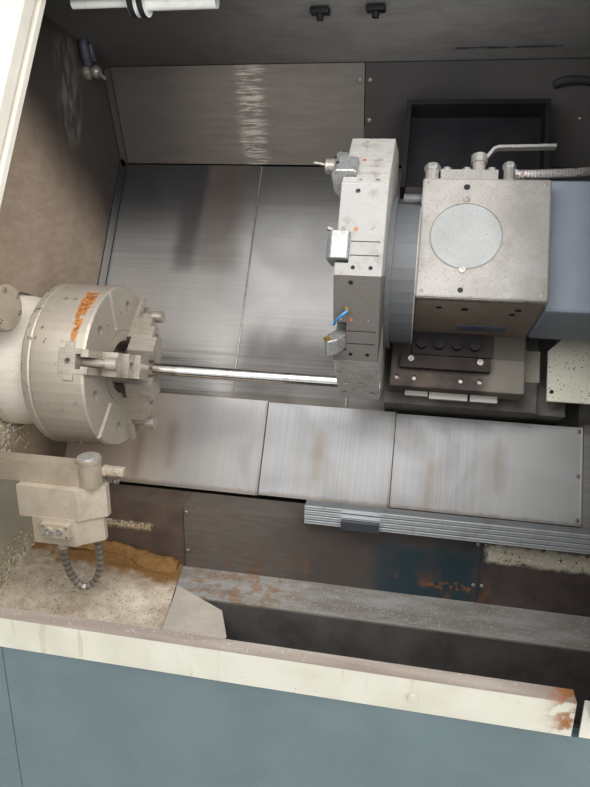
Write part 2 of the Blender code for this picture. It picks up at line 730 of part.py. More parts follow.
def build_headstock():
    back = WALL_LEFT - 0.015
    front = back - HEADSTOCK_LENGTH
    way_top = BED_PLANE + WAY_HEIGHT
    casting = block("headstock", (front, back), (-HEADSTOCK_HALF, HEADSTOCK_HALF),
                    (way_top + GAP, HEADSTOCK_TOP), BEIGE, BED)
    round_edges(casting, 0.012)
    bore = rods("headstock_bore", [((front - 0.05, 0, 0), (back + 0.05, 0, 0),
                SPINDLE_RADIUS + 0.0006)], None, SPINDLE, sides=48)
    cut(casting, bore)
    turned("nose_cover", [
        (back + LAP, FLANGE_RADIUS + 0.004), (back + LAP, NOSE_RADIUS),
        (WALL_LEFT + 0.02, NOSE_RADIUS), (-CHUCK_LENGTH - 0.020, NOSE_FRONT_RADIUS),
        (-CHUCK_LENGTH - 0.016, NOSE_FRONT_RADIUS - 0.004),
        (-CHUCK_LENGTH - 0.016, FLANGE_RADIUS + 0.004),
    ], BEIGE, SPINDLE, 48)
    tail = front - 0.010
    turned("spindle", [
        (-CHUCK_LENGTH - GAP, BORE_RADIUS), (-CHUCK_LENGTH - GAP, FLANGE_RADIUS),
        (back + 0.012, FLANGE_RADIUS), (back + 0.003, SPINDLE_RADIUS),
        (tail, SPINDLE_RADIUS), (tail, PULLEY_RADIUS + 0.006), (tail - 0.004, PULLEY_RADIUS + 0.006),
        (tail - 0.004, PULLEY_RADIUS), (tail - PULLEY_WIDTH + 0.004, PULLEY_RADIUS),
        (tail - PULLEY_WIDTH + 0.004, PULLEY_RADIUS + 0.006),
        (tail - PULLEY_WIDTH, PULLEY_RADIUS + 0.006), (tail - PULLEY_WIDTH, SPINDLE_RADIUS * 0.9),
        (tail - PULLEY_WIDTH - 0.030, SPINDLE_RADIUS * 0.9),
        (tail - PULLEY_WIDTH - 0.030, 0.100), (tail - PULLEY_WIDTH - 0.120, 0.100),
        (tail - PULLEY_WIDTH - 0.120, BORE_RADIUS),
    ], STEEL, SPINDLE, 24)
    return tail


def build_drive(tail):
    """Main motor under the headstock, its pulley and the belt up to the spindle."""
    my, mz = MOTOR_AXIS
    end = tail + 0.020
    body = turned("main_motor", [
        (end, 0.0), (end, MOTOR_RADIUS), (end + MOTOR_LENGTH, MOTOR_RADIUS),
        (end + MOTOR_LENGTH, 0.0),
    ], IRON, SPINDLE, 40, MOTOR_AXIS)
    foot = block("motor_foot", (end + 0.04, end + MOTOR_LENGTH - 0.04), (my - 0.12, my + 0.12),
                 (TUB_TOP + GAP, mz - 0.08), None, SPINDLE)
    fuse(body, foot)
    middle = tail - PULLEY_WIDTH / 2
    half = PULLEY_WIDTH / 2
    turned("motor_pulley", [
        (middle - half, 0.0), (middle - half, MOTOR_PULLEY_RADIUS + 0.006),
        (middle - half + 0.004, MOTOR_PULLEY_RADIUS + 0.006),
        (middle - half + 0.004, MOTOR_PULLEY_RADIUS), (middle + half - 0.004, MOTOR_PULLEY_RADIUS),
        (middle + half - 0.004, MOTOR_PULLEY_RADIUS + 0.006),
        (middle + half, MOTOR_PULLEY_RADIUS + 0.006), (middle + half, 0.024),
        (end - GAP, 0.024), (end - GAP, 0.0),
    ], IRON, SPINDLE, 32, MOTOR_AXIS)
    build_belt((middle - half + 0.006, middle + half - 0.006))


def belt_loop(extra):
    """Closed outline round both pulleys, a distance off their rims."""
    my, mz = MOTOR_AXIS
    span = hypot(my, mz)
    heading = atan2(mz, my)
    big = PULLEY_RADIUS + extra
    small = MOTOR_PULLEY_RADIUS + extra
    lean = asin((big - small) / span)
    points = []
    for i in range(33):
        a = heading + pi / 2 - lean + (pi + 2 * lean) * i / 32
        points.append((big * cos(a), big * sin(a)))
    for i in range(25):
        a = heading - pi / 2 + lean + (pi - 2 * lean) * i / 24
        points.append((my + small * cos(a), mz + small * sin(a)))
    return points


def build_belt(span):
    outer = belt_loop(GAP + BELT_THICKNESS)
    inner = belt_loop(GAP)
    bm = bmesh.new()
    rings = []
    for loop in (outer, inner):
        rings.append([[bm.verts.new((x, y, z)) for y, z in loop] for x in span])
    count = len(outer)
    for i in range(count):
        j = (i + 1) % count
        (o0, o1), (i0, i1) = rings
        bm.faces.new((o0[i], o1[i], o1[j], o0[j]))
        bm.faces.new((i0[i], i0[j], i1[j], i1[i]))
        bm.faces.new((o0[i], o0[j], i0[j], i0[i]))
        bm.faces.new((o1[i], i1[i], i1[j], o1[j]))
    add_object("drive_belt", bm, RUBBER, SPINDLE)


def jaw_frame(index):
    """Empty whose Z runs out along one jaw's slot."""
    angle = radians(90.0 - JAW_ANGLE - index * 360.0 / JAW_COUNT)
    return empty(f"jaw_frame_{index + 1}", tilt=angle, parent=SPINDLE)


def slot_section(fit):
    """Cross-shaped section of a jaw slot, in (x, tangential)."""
    half = SLOT_HALF - fit
    wing = WING_HALF - fit
    near = -WING_NEAR - fit
    far = -WING_FAR + fit
    deep = -SLOT_DEPTH + fit
    return near, far, deep, half, wing


def section_outline(fit, top):
    near, far, deep, half, wing = slot_section(fit)
    return [
        (top, -half), (top, half), (near, half), (near, wing), (far, wing), (far, half),
        (deep, half), (deep, -half), (far, -half), (far, -wing), (near, -wing), (near, -half),
    ]


def build_chuck():
    edge = 0.004
    groove = 0.0012
    body = turned("chuck_body", [
        (0.0, CHUCK_BORE), (0.0, RING_RADIUS - groove), (-0.002, RING_RADIUS - groove),
        (-0.002, RING_RADIUS + groove), (0.0, RING_RADIUS + groove),
        (0.0, CHUCK_RADIUS - edge), (-edge, CHUCK_RADIUS),
        (-CHUCK_LENGTH + 0.022, CHUCK_RADIUS), (-CHUCK_LENGTH + 0.020, CHUCK_RADIUS - 0.002),
        (-CHUCK_LENGTH + 0.017, CHUCK_RADIUS - 0.002), (-CHUCK_LENGTH + 0.015, CHUCK_RADIUS),
        (-CHUCK_LENGTH + edge, CHUCK_RADIUS), (-CHUCK_LENGTH, CHUCK_RADIUS - edge),
        (-CHUCK_LENGTH, CHUCK_BORE),
    ], STEEL, SPINDLE, 54)
    holes = []
    grooves = bmesh.new()
    for k in range(JAW_COUNT):
        jaw = jaw_frame(k)
        slot = prism(f"jaw_slot_{k + 1}", section_outline(0.0, 0.02),
                     (JAW_INNER - 0.010, CHUCK_RADIUS + 0.02), None, jaw, along="z")
        cut(body, slot)
        build_jaw(k, jaw)
        middle = JAW_ANGLE + k * 360.0 / JAW_COUNT
        for side in (-1, 1):
            a = radians(middle + side * 29.5)
            place = (-cos(a) * BOLT_CIRCLE, sin(a) * BOLT_CIRCLE)
            holes.append(((-0.018, *place), (0.01, *place), BOLT_HOLE))
            a = radians(middle + side * 43.0)
            place = (-cos(a) * (BOLT_CIRCLE - 0.015), sin(a) * (BOLT_CIRCLE - 0.015))
            holes.append(((-0.008, *place), (0.01, *place), 0.0032))
        a = radians(middle + 60.0)
        for r, depth in ((CHUCK_RADIUS, 0.012), ):
            rod_into(grooves, (0.0, -cos(a) * 0.080, sin(a) * 0.080),
                     (0.0, -cos(a) * (r + 0.02), sin(a) * (r + 0.02)), 0.0055, 12)
        a = radians(middle + 47.0)
        for x in (-0.071, -0.052):
            start = (x, -cos(a) * (CHUCK_RADIUS - 0.010), sin(a) * (CHUCK_RADIUS - 0.010))
            holes.append((start, (x, -cos(a) * 0.18, sin(a) * 0.18), 0.0045))
    cut(body, rods("chuck_holes", holes, None, SPINDLE, sides=12))
    cut(body, add_object("chuck_grooves", grooves, None, SPINDLE))


def build_jaw(k, frame):
    """One jaw: the master jaw in its slot and the hard stepped jaw bolted on it."""
    base = prism(f"base_jaw_{k + 1}", section_outline(SLOT_FIT, JAW_PROUD),
                 (JAW_INNER, CHUCK_RADIUS - 0.001), HARD, frame, along="z")
    nut_slot = prism(f"nut_slot_{k + 1}", [
        (0.03, -0.0085), (0.03, 0.0085), (-0.006, 0.0085), (-0.006, 0.0135), (-0.016, 0.0135),
        (-0.016, -0.0135), (-0.006, -0.0135), (-0.006, -0.0085),
    ], (JAW_STEPS[0][0] + 0.003, CHUCK_RADIUS + 0.02), None, frame, along="z")
    cut(base, nut_slot)
    plug = rods(f"plug_hole_{k + 1}", [((-0.031, 0.0, CHUCK_RADIUS - 0.012),
                (-0.031, 0.0, CHUCK_RADIUS + 0.01), 0.0055)], None, frame, sides=14)
    cut(base, plug)
    head = JAW_PROUD + JAW_SCREW_LIFT
    screw = rods(f"jaw_screw_{k + 1}", [
        ((-0.0165, 0.0, JAW_SCREW_RADIUS), (head + 0.002, 0.0, JAW_SCREW_RADIUS), JAW_SCREW_SHANK),
    ], None, frame, sides=16)
    cap = rods(f"jaw_screw_cap_{k + 1}", [
        ((head, 0.0, JAW_SCREW_RADIUS), (head + JAW_SCREW_HEAD_LENGTH, 0.0, JAW_SCREW_RADIUS),
         JAW_SCREW_HEAD),
    ], None, frame, sides=20)
    fuse(fuse(base, screw), cap)
    low = JAW_PROUD + GAP
    outline = [(low, GRIP_RADIUS), (low, JAW_STEPS[0][0])]
    for i, (radius, height) in enumerate(JAW_STEPS):
        outline.append((height, radius))
        if i + 1 < len(JAW_STEPS):
            outline.append((height, JAW_STEPS[i + 1][0]))
    outline.append((JAW_STEPS[-1][1], GRIP_RADIUS))
    top = top_jaw(f"top_jaw_{k + 1}", outline, frame)
    middle = (JAW_PROUD + JAW_STEPS[0][1]) / 2
    well = (JAW_STEPS[1][0] + JAW_STEPS[2][0]) / 2
    bores = rods(f"jaw_bores_{k + 1}", [
        ((middle, 0.0, JAW_STEPS[0][0] - 0.016), (middle, 0.0, JAW_STEPS[0][0] + 0.02), 0.0105),
        ((JAW_STEPS[1][1] - 0.010, 0.0, well), (JAW_STEPS[1][1] + 0.02, 0.0, well), 0.0085),
    ], None, frame, sides=20)
    cut(top, bores)


def top_jaw(name, outline, frame):
    """The outline, in (x, radius), given the jaw's width, with its inner end cut to a wedge."""
    half = SLOT_HALF - SLOT_FIT
    bm = bmesh.new()
    rings = [[bm.verts.new((x, y, r)) for x, r in outline] for y in (-half, half)]
    count = len(outline)
    bm.faces.new(rings[0])
    bm.faces.new(list(reversed(rings[1])))
    for i in range(count):
        j = (i + 1) % count
        bm.faces.new((rings[0][i], rings[1][i], rings[1][j], rings[0][j]))
    jaw = add_object(name, bm, HARD, frame)
    reach = 0.060
    for side in (-1, 1):
        tip = 0.004
        slope = tan(radians(90.0 - 180.0 / JAW_COUNT))
        wedge = prism(f"{name}_trim_{'ab'[side > 0]}", [
            (side * tip, GRIP_RADIUS - 0.001), (side * (tip + reach), GRIP_RADIUS - 0.001 + reach * slope),
            (side * (tip + reach), GRIP_RADIUS - 0.02), (side * tip, GRIP_RADIUS - 0.02),
        ], (-0.01, 0.15), None, frame)
        cut(jaw, wedge)
    return jaw


def station_angle(index):
    """Bed-frame angle, from Z towards Y, of the tool line of one station."""
    return -90.0 + index * 360.0 / STATIONS


def facet_frame(index):
    """Empty whose Z is square to one facet of the disc and whose Y climbs along it."""
    tilt = -radians(station_angle(index) + STATION_OFFSET)
    return empty(f"facet_frame_{index}", tilt=tilt, parent=TURRET)


APOTHEM = TURRET_RADIUS * cos(pi / STATIONS)
FACET = 2 * TURRET_RADIUS * sin(pi / STATIONS)
TURRET_RIGHT = TURRET_LEFT + TURRET_THICK
BAR_STATION = 0
TOOL_STATIONS = (1, 2, 3)


def build_turret():
    first = station_angle(0) + STATION_OFFSET - 180.0 / STATIONS
    corners = []
    for k in range(STATIONS):
        a = radians(first + k * 360.0 / STATIONS)
        corners.append((TURRET_RADIUS * sin(a), TURRET_RADIUS * cos(a)))
    disc = prism("turret_disc", corners, (TURRET_LEFT, TURRET_RIGHT), STEEL, TURRET)
    round_edges(disc, 0.0012, 1)
    hub = turned("turret_hub", [
        (TURRET_LEFT - HUB_THICK, 0.0), (TURRET_LEFT - HUB_THICK, HUB_RADIUS - 0.004),
        (TURRET_LEFT - HUB_THICK + 0.004, HUB_RADIUS), (TURRET_LEFT + 0.004, HUB_RADIUS),
        (TURRET_LEFT + 0.004, 0.0),
    ], None, TURRET, 48)
    fuse(disc, hub)
    bar_a = radians(station_angle(BAR_STATION))
    bar_y, bar_z = TURRET_RISE * sin(bar_a), TURRET_RISE * cos(bar_a)
    bore = rods("bar_bore", [((TURRET_LEFT - 0.02, bar_y, bar_z), (TURRET_RIGHT + 0.02, bar_y, bar_z),
                BAR_RADIUS + GAP)], None, TURRET, sides=28)
    cut(disc, bore)
    turned("boring_bar", [
        (BAR_START, 0.0), (BAR_START, BAR_RADIUS - 0.001), (BAR_START + 0.001, BAR_RADIUS),
        (TURRET_RIGHT - 0.002, BAR_RADIUS), (TURRET_RIGHT - 0.002, 0.0),
    ], STEEL, TURRET, 28, (bar_y, bar_z))
    cut(disc, station_cuts())
    for station in TOOL_STATIONS:
        build_holder(station)


def station_cuts():
    """Cutter for every station's tool notch, clamp grooves and screw holes."""
    bm = bmesh.new()
    columns = [TURRET_LEFT + f * TURRET_THICK for f in (0.15, 0.39, 0.76)]
    for station in range(STATIONS):
        part = bmesh.new()
        holes = [(0.917, columns[1] - 0.002, 0.0042)]
        if station % 5 == BAR_STATION:
            holes = [(0.65, columns[1], 0.0030)]
            holes += [(0.43, x, 0.0058) for x in (columns[1] - 0.010, columns[1] + 0.014)]
            holes += [(0.173, x, 0.0050) for x in (TURRET_LEFT + 0.011, TURRET_RIGHT - 0.013)]
        else:
            holes += [(0.50, x, 0.0036) for x in columns]
            holes += [(0.083, x, 0.0036) for x in columns[1:]]
            low = NOTCH_SHARES[0] * FACET - FACET / 2
            high = NOTCH_SHARES[1] * FACET - FACET / 2
            prism_into(part, rectangle((low, high), (APOTHEM - NOTCH_DEPTH, APOTHEM + 0.02)),
                       (TURRET_LEFT - 0.01, TURRET_LEFT + NOTCH_WIDTH))
            for share in (0.365, 0.215):
                y = share * FACET - FACET / 2
                prism_into(part, rectangle((y - 0.0010, y + 0.0010), (APOTHEM - 0.003, APOTHEM + 0.01)),
                           (TURRET_LEFT + NOTCH_WIDTH + 0.0015, TURRET_RIGHT - 0.006))
        for share, x, radius in holes:
            y = share * FACET - FACET / 2
            depth = 0.0035 if share == 0.173 else 0.009
            rod_into(part, (x, y, APOTHEM - depth), (x, y, APOTHEM + 0.01), radius, 8)
        turn = Matrix.Rotation(-radians(station_angle(station) + STATION_OFFSET), 4, "X")
        bmesh.ops.transform(part, matrix=turn, verts=part.verts[:])
        mesh = bpy.data.meshes.new("station_part")
        part.to_mesh(mesh)
        part.free()
        bm.from_mesh(mesh)
    return add_object("station_cuts", bm, None, TURRET)


def build_holder(station):
    """Turning holder clamped in its notch. Each of the three has its own outline."""
    frame = facet_frame(station)
    low = NOTCH_SHARES[0] * FACET - FACET / 2 + GAP
    high = NOTCH_SHARES[1] * FACET - FACET / 2 - GAP
    root = APOTHEM - NOTCH_DEPTH + GAP
    right = TURRET_LEFT + NOTCH_WIDTH - GAP
    nose = TURRET_LEFT - (0.020 if station == 3 else 0.015)
    middle = (low + high) / 2
    outline = [
        (right, root), (right, APOTHEM + 0.006), (right - 0.004, APOTHEM + 0.010),
        (nose + 0.008, APOTHEM + 0.010), (nose, APOTHEM), (nose + 0.004, APOTHEM - 0.030),
        (TURRET_LEFT - 0.003, root),
    ]
    span = (low + 0.004, high)
    if station == 1:
        span = (low + 0.002, middle + 0.004)
        outline = [
            (right, root), (right, APOTHEM - 0.002), (TURRET_LEFT + 0.010, APOTHEM + 0.022),
            (TURRET_LEFT - 0.004, APOTHEM + 0.034), (TURRET_LEFT - 0.011, APOTHEM + 0.026),
            (TURRET_LEFT - 0.009, APOTHEM + 0.002), (TURRET_LEFT + 0.002, APOTHEM - 0.018),
            (TURRET_LEFT + 0.002, root),
        ]
    holder = prism(f"tool_holder_{station}", outline, span, HARD, frame, along="y")
    round_edges(holder, 0.0015, 1)


def build_head():
    """Turret housing with its collar, pins and valve, the motor cover and the cross slide."""
    housing = block("turret_housing", HOUSING_X, HOUSING_U, (SLIDE_FRONT + GAP, HOUSING_FRONT),
                    BEIGE, BED)
    round_edges(housing, 0.004)
    collar = turned("turret_collar", [
        (TURRET_RIGHT + GAP, 0.0), (TURRET_RIGHT + GAP, COLLAR_RADIUS),
        (TURRET_RIGHT + COLLAR_THICK, COLLAR_RADIUS), (TURRET_RIGHT + COLLAR_THICK, SHAFT_RADIUS),
        (HOUSING_X[0] + 0.001, SHAFT_RADIUS), (HOUSING_X[0] + 0.001, 0.0),
    ], None, TURRET, 40)
    fuse(housing, collar)
    clip = block("collar_clip", (TURRET_RIGHT - 0.02, HOUSING_X[0] + 0.06), (-0.100, 0.500),
                 (-0.250, SLIDE_FRONT + GAP), None, BED)
    cut(housing, clip)
    pins = rods("locating_pins", [
        ((TURRET_RIGHT + 0.019, 0.330, 0.080), (HOUSING_X[0] + 0.010, 0.330, 0.080), 0.009),
        ((TURRET_RIGHT + 0.016, 0.134, 0.050), (HOUSING_X[0] - 0.002, 0.134, 0.050), 0.0095),
    ], None, BED, 16)
    fuse(housing, pins)
    cx, cu, radius = COVER_DISC
    ring = bmesh.new()
    rod_into(ring, (cx, cu, HOUSING_FRONT - 0.002), (cx, cu, HOUSING_FRONT + 0.01), radius + 0.001, 48)
    cut(housing, add_object("cover_seat", ring, None, BED))
    cover = rods("cover_disc", [((cx, cu, HOUSING_FRONT - 0.004), (cx, cu, HOUSING_FRONT), radius)],
                 None, BED, 48)
    fuse(housing, cover)
    top = HOUSING_U[1]
    port_x, port_rise = HOSE_PORT
    port = top + port_rise
    bolt_x = HOUSING_X[0] + 0.0155
    valve = rods("valve_body", [
        ((VALVE_X, top - 0.004, VALVE_N), (VALVE_X, top + VALVE_HEIGHT, VALVE_N), 0.0115),
        ((bolt_x, top - 0.004, VALVE_N), (bolt_x, top + 0.049, VALVE_N), 0.0125),
        ((port_x, top - 0.004, VALVE_N), (port_x, top + 0.056, VALVE_N), 0.0100),
        ((port_x, port, VALVE_N), (port_x + 0.015, port, VALVE_N), 0.0070),
    ], None, BED, 12)
    row = block("valve_row", (0.587, 0.689), (top - 0.004, top + 0.038),
                (VALVE_N - 0.010, VALVE_N + 0.010), None, BED)
    fuse(fuse(housing, row), valve)
    cover_box = block("motor_cover", (HOUSING_X[1] + GAP, MOTOR_COVER_X), MOTOR_COVER_U,
                      MOTOR_COVER_N, SLATE, BED)
    round_edges(cover_box, 0.006)
    gland = rods("hose_gland", [((GLAND_X, MOTOR_COVER_U[1] - 0.004, VALVE_N - 0.020),
                 (GLAND_X, MOTOR_COVER_U[1] + 0.010, VALVE_N - 0.020), 0.010)], None, BED, 16)
    fuse(cover_box, gland)
    build_cross_slide()
    build_valve_lever()
    start = (port_x + 0.015 + GAP, port, VALVE_N)
    gland_top = (GLAND_X, MOTOR_COVER_U[1] + 0.010, VALVE_N - 0.020)
    tube("coolant_hose", [
        start, (start[0] + 0.006, port, VALVE_N), (start[0] + 0.036, port + 0.001, VALVE_N),
        (0.840, port + 0.010, VALVE_N - 0.006), (0.885, port + 0.023, VALVE_N - 0.013),
        (0.915, port + 0.028, VALVE_N - 0.017),
        (gland_top[0], gland_top[1] + 0.020, gland_top[2]),
        (gland_top[0], gland_top[1] + 0.007, gland_top[2]),
        (gland_top[0], gland_top[1] + GAP, gland_top[2]),
    ], HOSE_RADIUS, STEEL, BED, 44, 2)


def build_cross_slide():
    slide = block("cross_slide", SLIDE_X, SLIDE_U, (SLIDE_BACK, SLIDE_FRONT), IRON, BED)
    round_edges(slide, 0.003)
    bar = block("clamp_bar", (SLIDE_X[0] + 0.019, 0.709), (0.060, 0.086),
                (SLIDE_FRONT - 0.003, SLIDE_FRONT + 0.016), None, BED)
    step = block("screw_step", (HOUSING_X[0] + 0.002, 0.712), (0.090, HOUSING_U[0] - 0.002),
                 (SLIDE_FRONT - 0.003, SLIDE_FRONT + 0.008), None, BED)
    fuse(fuse(slide, bar), step)
    heads = [((0.576 + 0.034 * i, 0.111, SLIDE_FRONT + 0.006),
              (0.576 + 0.034 * i, 0.111, SLIDE_FRONT + 0.020), 0.0105) for i in range(4)]
    fuse(slide, rods("slide_screws", heads, None, BED, 16))
    wells = [((x, 0.043, SLIDE_FRONT - 0.010), (x, 0.043, SLIDE_FRONT + 0.01), 0.0048)
             for x in (0.532, 0.566, 0.656, 0.692)]
    wells += [((x, 0.079, SLIDE_FRONT + 0.008), (x, 0.079, SLIDE_FRONT + 0.02), 0.007)
              for x in (0.557, 0.690)]
    cut(slide, rods("slide_wells", wells, None, BED, 14))
    wipers = bmesh.new()
    for x0, x1, drop in ((0.550, 0.595, 0.0), (0.598, 0.673, 0.004), (0.678, 0.730, 0.004)):
        prism_into(wipers, rectangle((SLIDE_U[0] - 0.010 - drop, SLIDE_U[0] + 0.003),
                   (SLIDE_FRONT - 0.040, SLIDE_FRONT - 0.030)), (x0, x1))
    fuse(slide, add_object("slide_wipers", wipers, None, BED))


def build_valve_lever():
    pivot = empty("valve_pivot", (VALVE_X, HOUSING_U[1] + VALVE_HEIGHT, VALVE_N), parent=BED)
    cap = rods("valve_lever", [((0.0, GAP, 0.0), (0.0, 0.016, 0.0), 0.0150)], STEEL, pivot, 20)
    bm = bmesh.new()
    path = [(0.004, 0.003), (0.011, 0.005), (0.027, 0.028), (0.034, 0.031), (LEVER_LENGTH, 0.034)]
    outline = path + list(reversed(offset_path(path, 0.0055)))
    prism_into(bm, outline, (-0.006, 0.006), along="z")
    fuse(cap, add_object("lever_blade", bm, None, pivot))


def build_saddle():
    plate = block("saddle", SADDLE_PLATE_X, (LOWER_WAY - 0.02, CREASE - 0.02), SADDLE_PLATE_N,
                  IRON, BED)
    root = SADDLE_PLATE_N[0] + 0.01
    shoulder = CREASE - 0.014
    column = prism("saddle_column", [
        (SADDLE_U[0], root), (shoulder, root), (shoulder, UPPER_PLANE - 0.005),
        (SADDLE_U[1], COLUMN_FRONT - 0.020), (SADDLE_U[1], COLUMN_FRONT), (SADDLE_U[0], COLUMN_FRONT),
    ], SADDLE_X, None, BED)
    foot = block("saddle_foot", (SADDLE_X[0] + 0.004, 0.872), (SADDLE_U[0] + 0.002, 0.066),
                 (SADDLE_PLATE_N[0] + 0.012, -0.195), None, BED)
    pads = bmesh.new()
    prism_into(pads, rectangle((0.050, 0.130), (COLUMN_FRONT - 0.005, SLIDE_BACK - GAP)),
               (SLIDE_X[0] + 0.010, SLIDE_X[1] - 0.010))
    prism_into(pads, rectangle((0.280, 0.360), (COLUMN_FRONT - 0.005, SLIDE_BACK - GAP)),
               (SLIDE_X[0] + 0.010, SLIDE_X[1] - 0.010))
    fuse(fuse(fuse(plate, column), foot), add_object("slide_ways", pads, None, BED))
    (left, right), (low, high) = SIDE_PLATE_X, SIDE_PLATE_U
    side = bmesh.new()
    prism_into(side, [
        (left, low), (right, low), (right, high - 0.020), (left + SIDE_PLATE_CUT, high - 0.020),
        (left, high - 0.020 - SIDE_PLATE_CUT),
    ], (-0.160, -0.152), along="z")
    side = add_object("saddle_side_plate", side, None, BED)
    leg = block("side_plate_leg", (left + 0.013, left + 0.041), (low + 0.009, low + 0.035),
                (-0.200, -0.158), None, BED)
    fuse(fuse(plate, leg), side)
    outer = block("x_cover_frame", (SADDLE_X[0] - 0.001, SADDLE_X[1] + 0.001),
                  (FRAME_START, SADDLE_U[1] + 0.006), (COLUMN_FRONT + GAP, FRAME_FRONT), BLACK, BED)
    inner = block("x_cover_inside", (SADDLE_X[0] + FRAME_WALL, SADDLE_X[1] - FRAME_WALL),
                  (FRAME_START - 0.05, SADDLE_U[1] + 0.006 - FRAME_TOP_BAR),
                  (COLUMN_FRONT + 0.002, FRAME_FRONT + 0.05), None, BED)
    cut(outer, inner)


def build_door():
    x = (DOOR_REST, DOOR_REST + DOOR_WIDTH)
    back = DOOR_PLANE + 0.0035
    front = back + DOOR_THICK
    door = block("door", x, DOOR_U, (back, front), CREAM, BED)
    round_edges(door, 0.006)
    hollow = block("door_hollow", (x[0] + 0.02, x[1] - 0.02), (DOOR_U[0] + 0.02, DOOR_U[1] - 0.02),
                   (back - 0.01, front - 0.014), None, BED)
    cut(door, hollow)
    wx = (x[0] + WINDOW_MARGIN, x[1] - WINDOW_MARGIN)
    wu = (DOOR_U[0] + WINDOW_MARGIN, DOOR_U[1] - WINDOW_MARGIN)
    hole = block("door_window_hole", wx, wu, (back - 0.01, front + 0.01), None, BED)
    cut(door, hole)
    block("door_window", (wx[0] + WINDOW_FIT / 5, wx[1] - WINDOW_FIT / 5),
          (wu[0] + WINDOW_FIT / 5, wu[1] - WINDOW_FIT / 5), (front - 0.012, front - 0.012 + GLASS),
          GLASS_CLEAR, BED)
    grip = x[1] - 0.070
    bm = bmesh.new()
    path = [(-0.130, front - 0.004), (-0.130, front + HANDLE_STAND),
            (0.130, front + HANDLE_STAND), (0.130, front - 0.004)]
    outline = path + list(reversed(offset_path(path, -0.014)))
    prism_into(bm, outline, (grip - 0.009, grip + 0.009))
    fuse(door, add_object("door_handle", bm, None, BED))
    rail_x = (OUTER_LEFT + 0.02, OPENING_RIGHT + 0.03)
    low = DOOR_U[1] + 0.001
    folded("door_rail", [
        (low, DOOR_PLANE + RAIL_LIP), (low, DOOR_PLANE + GAP), (low + 0.030, DOOR_PLANE + GAP),
    ], rail_x, SHEET, ALUMINIUM, BED)


def build_setter():
    """Swing-arm tool setter that hangs from the headstock wall beside the chuck."""
    px, py = SETTER_PIVOT
    hy, hz, radius = SETTER_HUB
    left = WALL_LEFT + LAP
    plate_x = (-0.185, -0.140)
    hub = turned("setter_arm", [
        (left, 0.0), (left, radius - 0.009), (plate_x[0], radius - 0.009), (plate_x[0], radius),
        (plate_x[1] - 0.003, radius), (plate_x[1], radius - 0.003), (plate_x[1], 0.0),
    ], BEIGE, SPINDLE, 40, (hy, hz))
    front = py - 0.015
    drop = prism("setter_drop", [
        (front, SETTER_ARM_Z[0]), (front, hz), (hy - 0.010, hz + 0.020), (hy - 0.010, 0.080),
        (-0.152, 0.055), (-0.152, -0.100), (front + 0.030, SETTER_ARM_Z[0]),
    ], (left + 0.001, SETTER_COLUMN), None, SPINDLE)
    bar = block("setter_bar", (left + 0.002, px - 0.012), (front, front + 0.028), SETTER_ARM_Z,
                None, SPINDLE)
    fuse(fuse(hub, drop), bar)
    knuckle = rods("setter_knuckle", [((px, py, SETTER_ARM_Z[0]), (px, py, SETTER_TOP), 0.0205)],
                   None, SPINDLE, 32)
    rim = rods("setter_rim", [((px, py, SETTER_TOP - 0.004), (px, py, SETTER_TOP + 0.002), 0.022)],
               None, SPINDLE, 32)
    fuse(fuse(hub, knuckle), rim)
    build_setter_head(px, py)


def build_setter_head(px, py):
    pivot = empty("setter_pivot", (px, py, 0.0), parent=SPINDLE)
    half = 0.030
    left = -SETTER_REACH
    plan = [
        (left, -half), (-0.014, -half), (-0.006, -half + 0.009), (0.027, half - 0.028),
        (0.027, half - 0.016), (0.010, half), (left, half),
    ]
    head = prism("setter_head", plan, SETTER_HEAD_Z, BEIGE, pivot, along="z")
    foot_plan = [
        (left + 0.026, -half - 0.002), (-0.022, -half - 0.002), (-0.014, -half + 0.007),
        (0.018, half - 0.028), (0.018, half - 0.018), (0.006, half - 0.004), (left + 0.026, half - 0.004),
    ]
    foot = prism("setter_foot", foot_plan, (SETTER_FOOT_Z, SETTER_HEAD_Z[0] + 0.003), None, pivot,
                 along="z")
    socket = block("setter_socket", (left + 0.048, left + 0.102), (-half - 0.012, -half + 0.002),
                   (SETTER_FOOT_Z + 0.019, SETTER_HEAD_Z[0] - 0.004), None, pivot)
    fuse(fuse(head, foot), socket)
    port_z = (SETTER_FOOT_Z + SETTER_HEAD_Z[0]) / 2 + 0.009
    plugs = rods("setter_plugs", [
        ((left + 0.065, -half - 0.017, port_z), (left + 0.065, -half, port_z), 0.0070),
        ((left + 0.085, -half - 0.014, port_z), (left + 0.085, -half, port_z), 0.0055),
    ], None, pivot, 16)
    fuse(head, plugs)
    low = SETTER_FOOT_Z
    glands = rods("setter_glands", [
        ((-0.060, -0.012, low - 0.018), (-0.060, -0.012, low + 0.004), 0.0095),
        ((-0.002, 0.010, low - 0.004), (-0.002, 0.010, low + 0.004), 0.0095),
    ], None, pivot, 16)
    fuse(head, glands)
    tube("setter_conduit", [
        (-0.060, -0.012, low - 0.018 - GAP), (-0.060, -0.012, low - 0.023),
        (-0.059, -0.012, low - 0.045), (-0.051, -0.009, low - 0.080), (-0.035, -0.004, low - 0.103),
        (-0.016, 0.003, low - 0.098), (-0.003, 0.008, low - 0.072), (-0.001, 0.010, low - 0.040),
        (-0.002, 0.010, low - 0.018), (-0.002, 0.010, low - 0.010), (-0.002, 0.010, low - 0.004 - GAP),
    ], CONDUIT_RADIUS, STEEL, pivot, 32, 2)


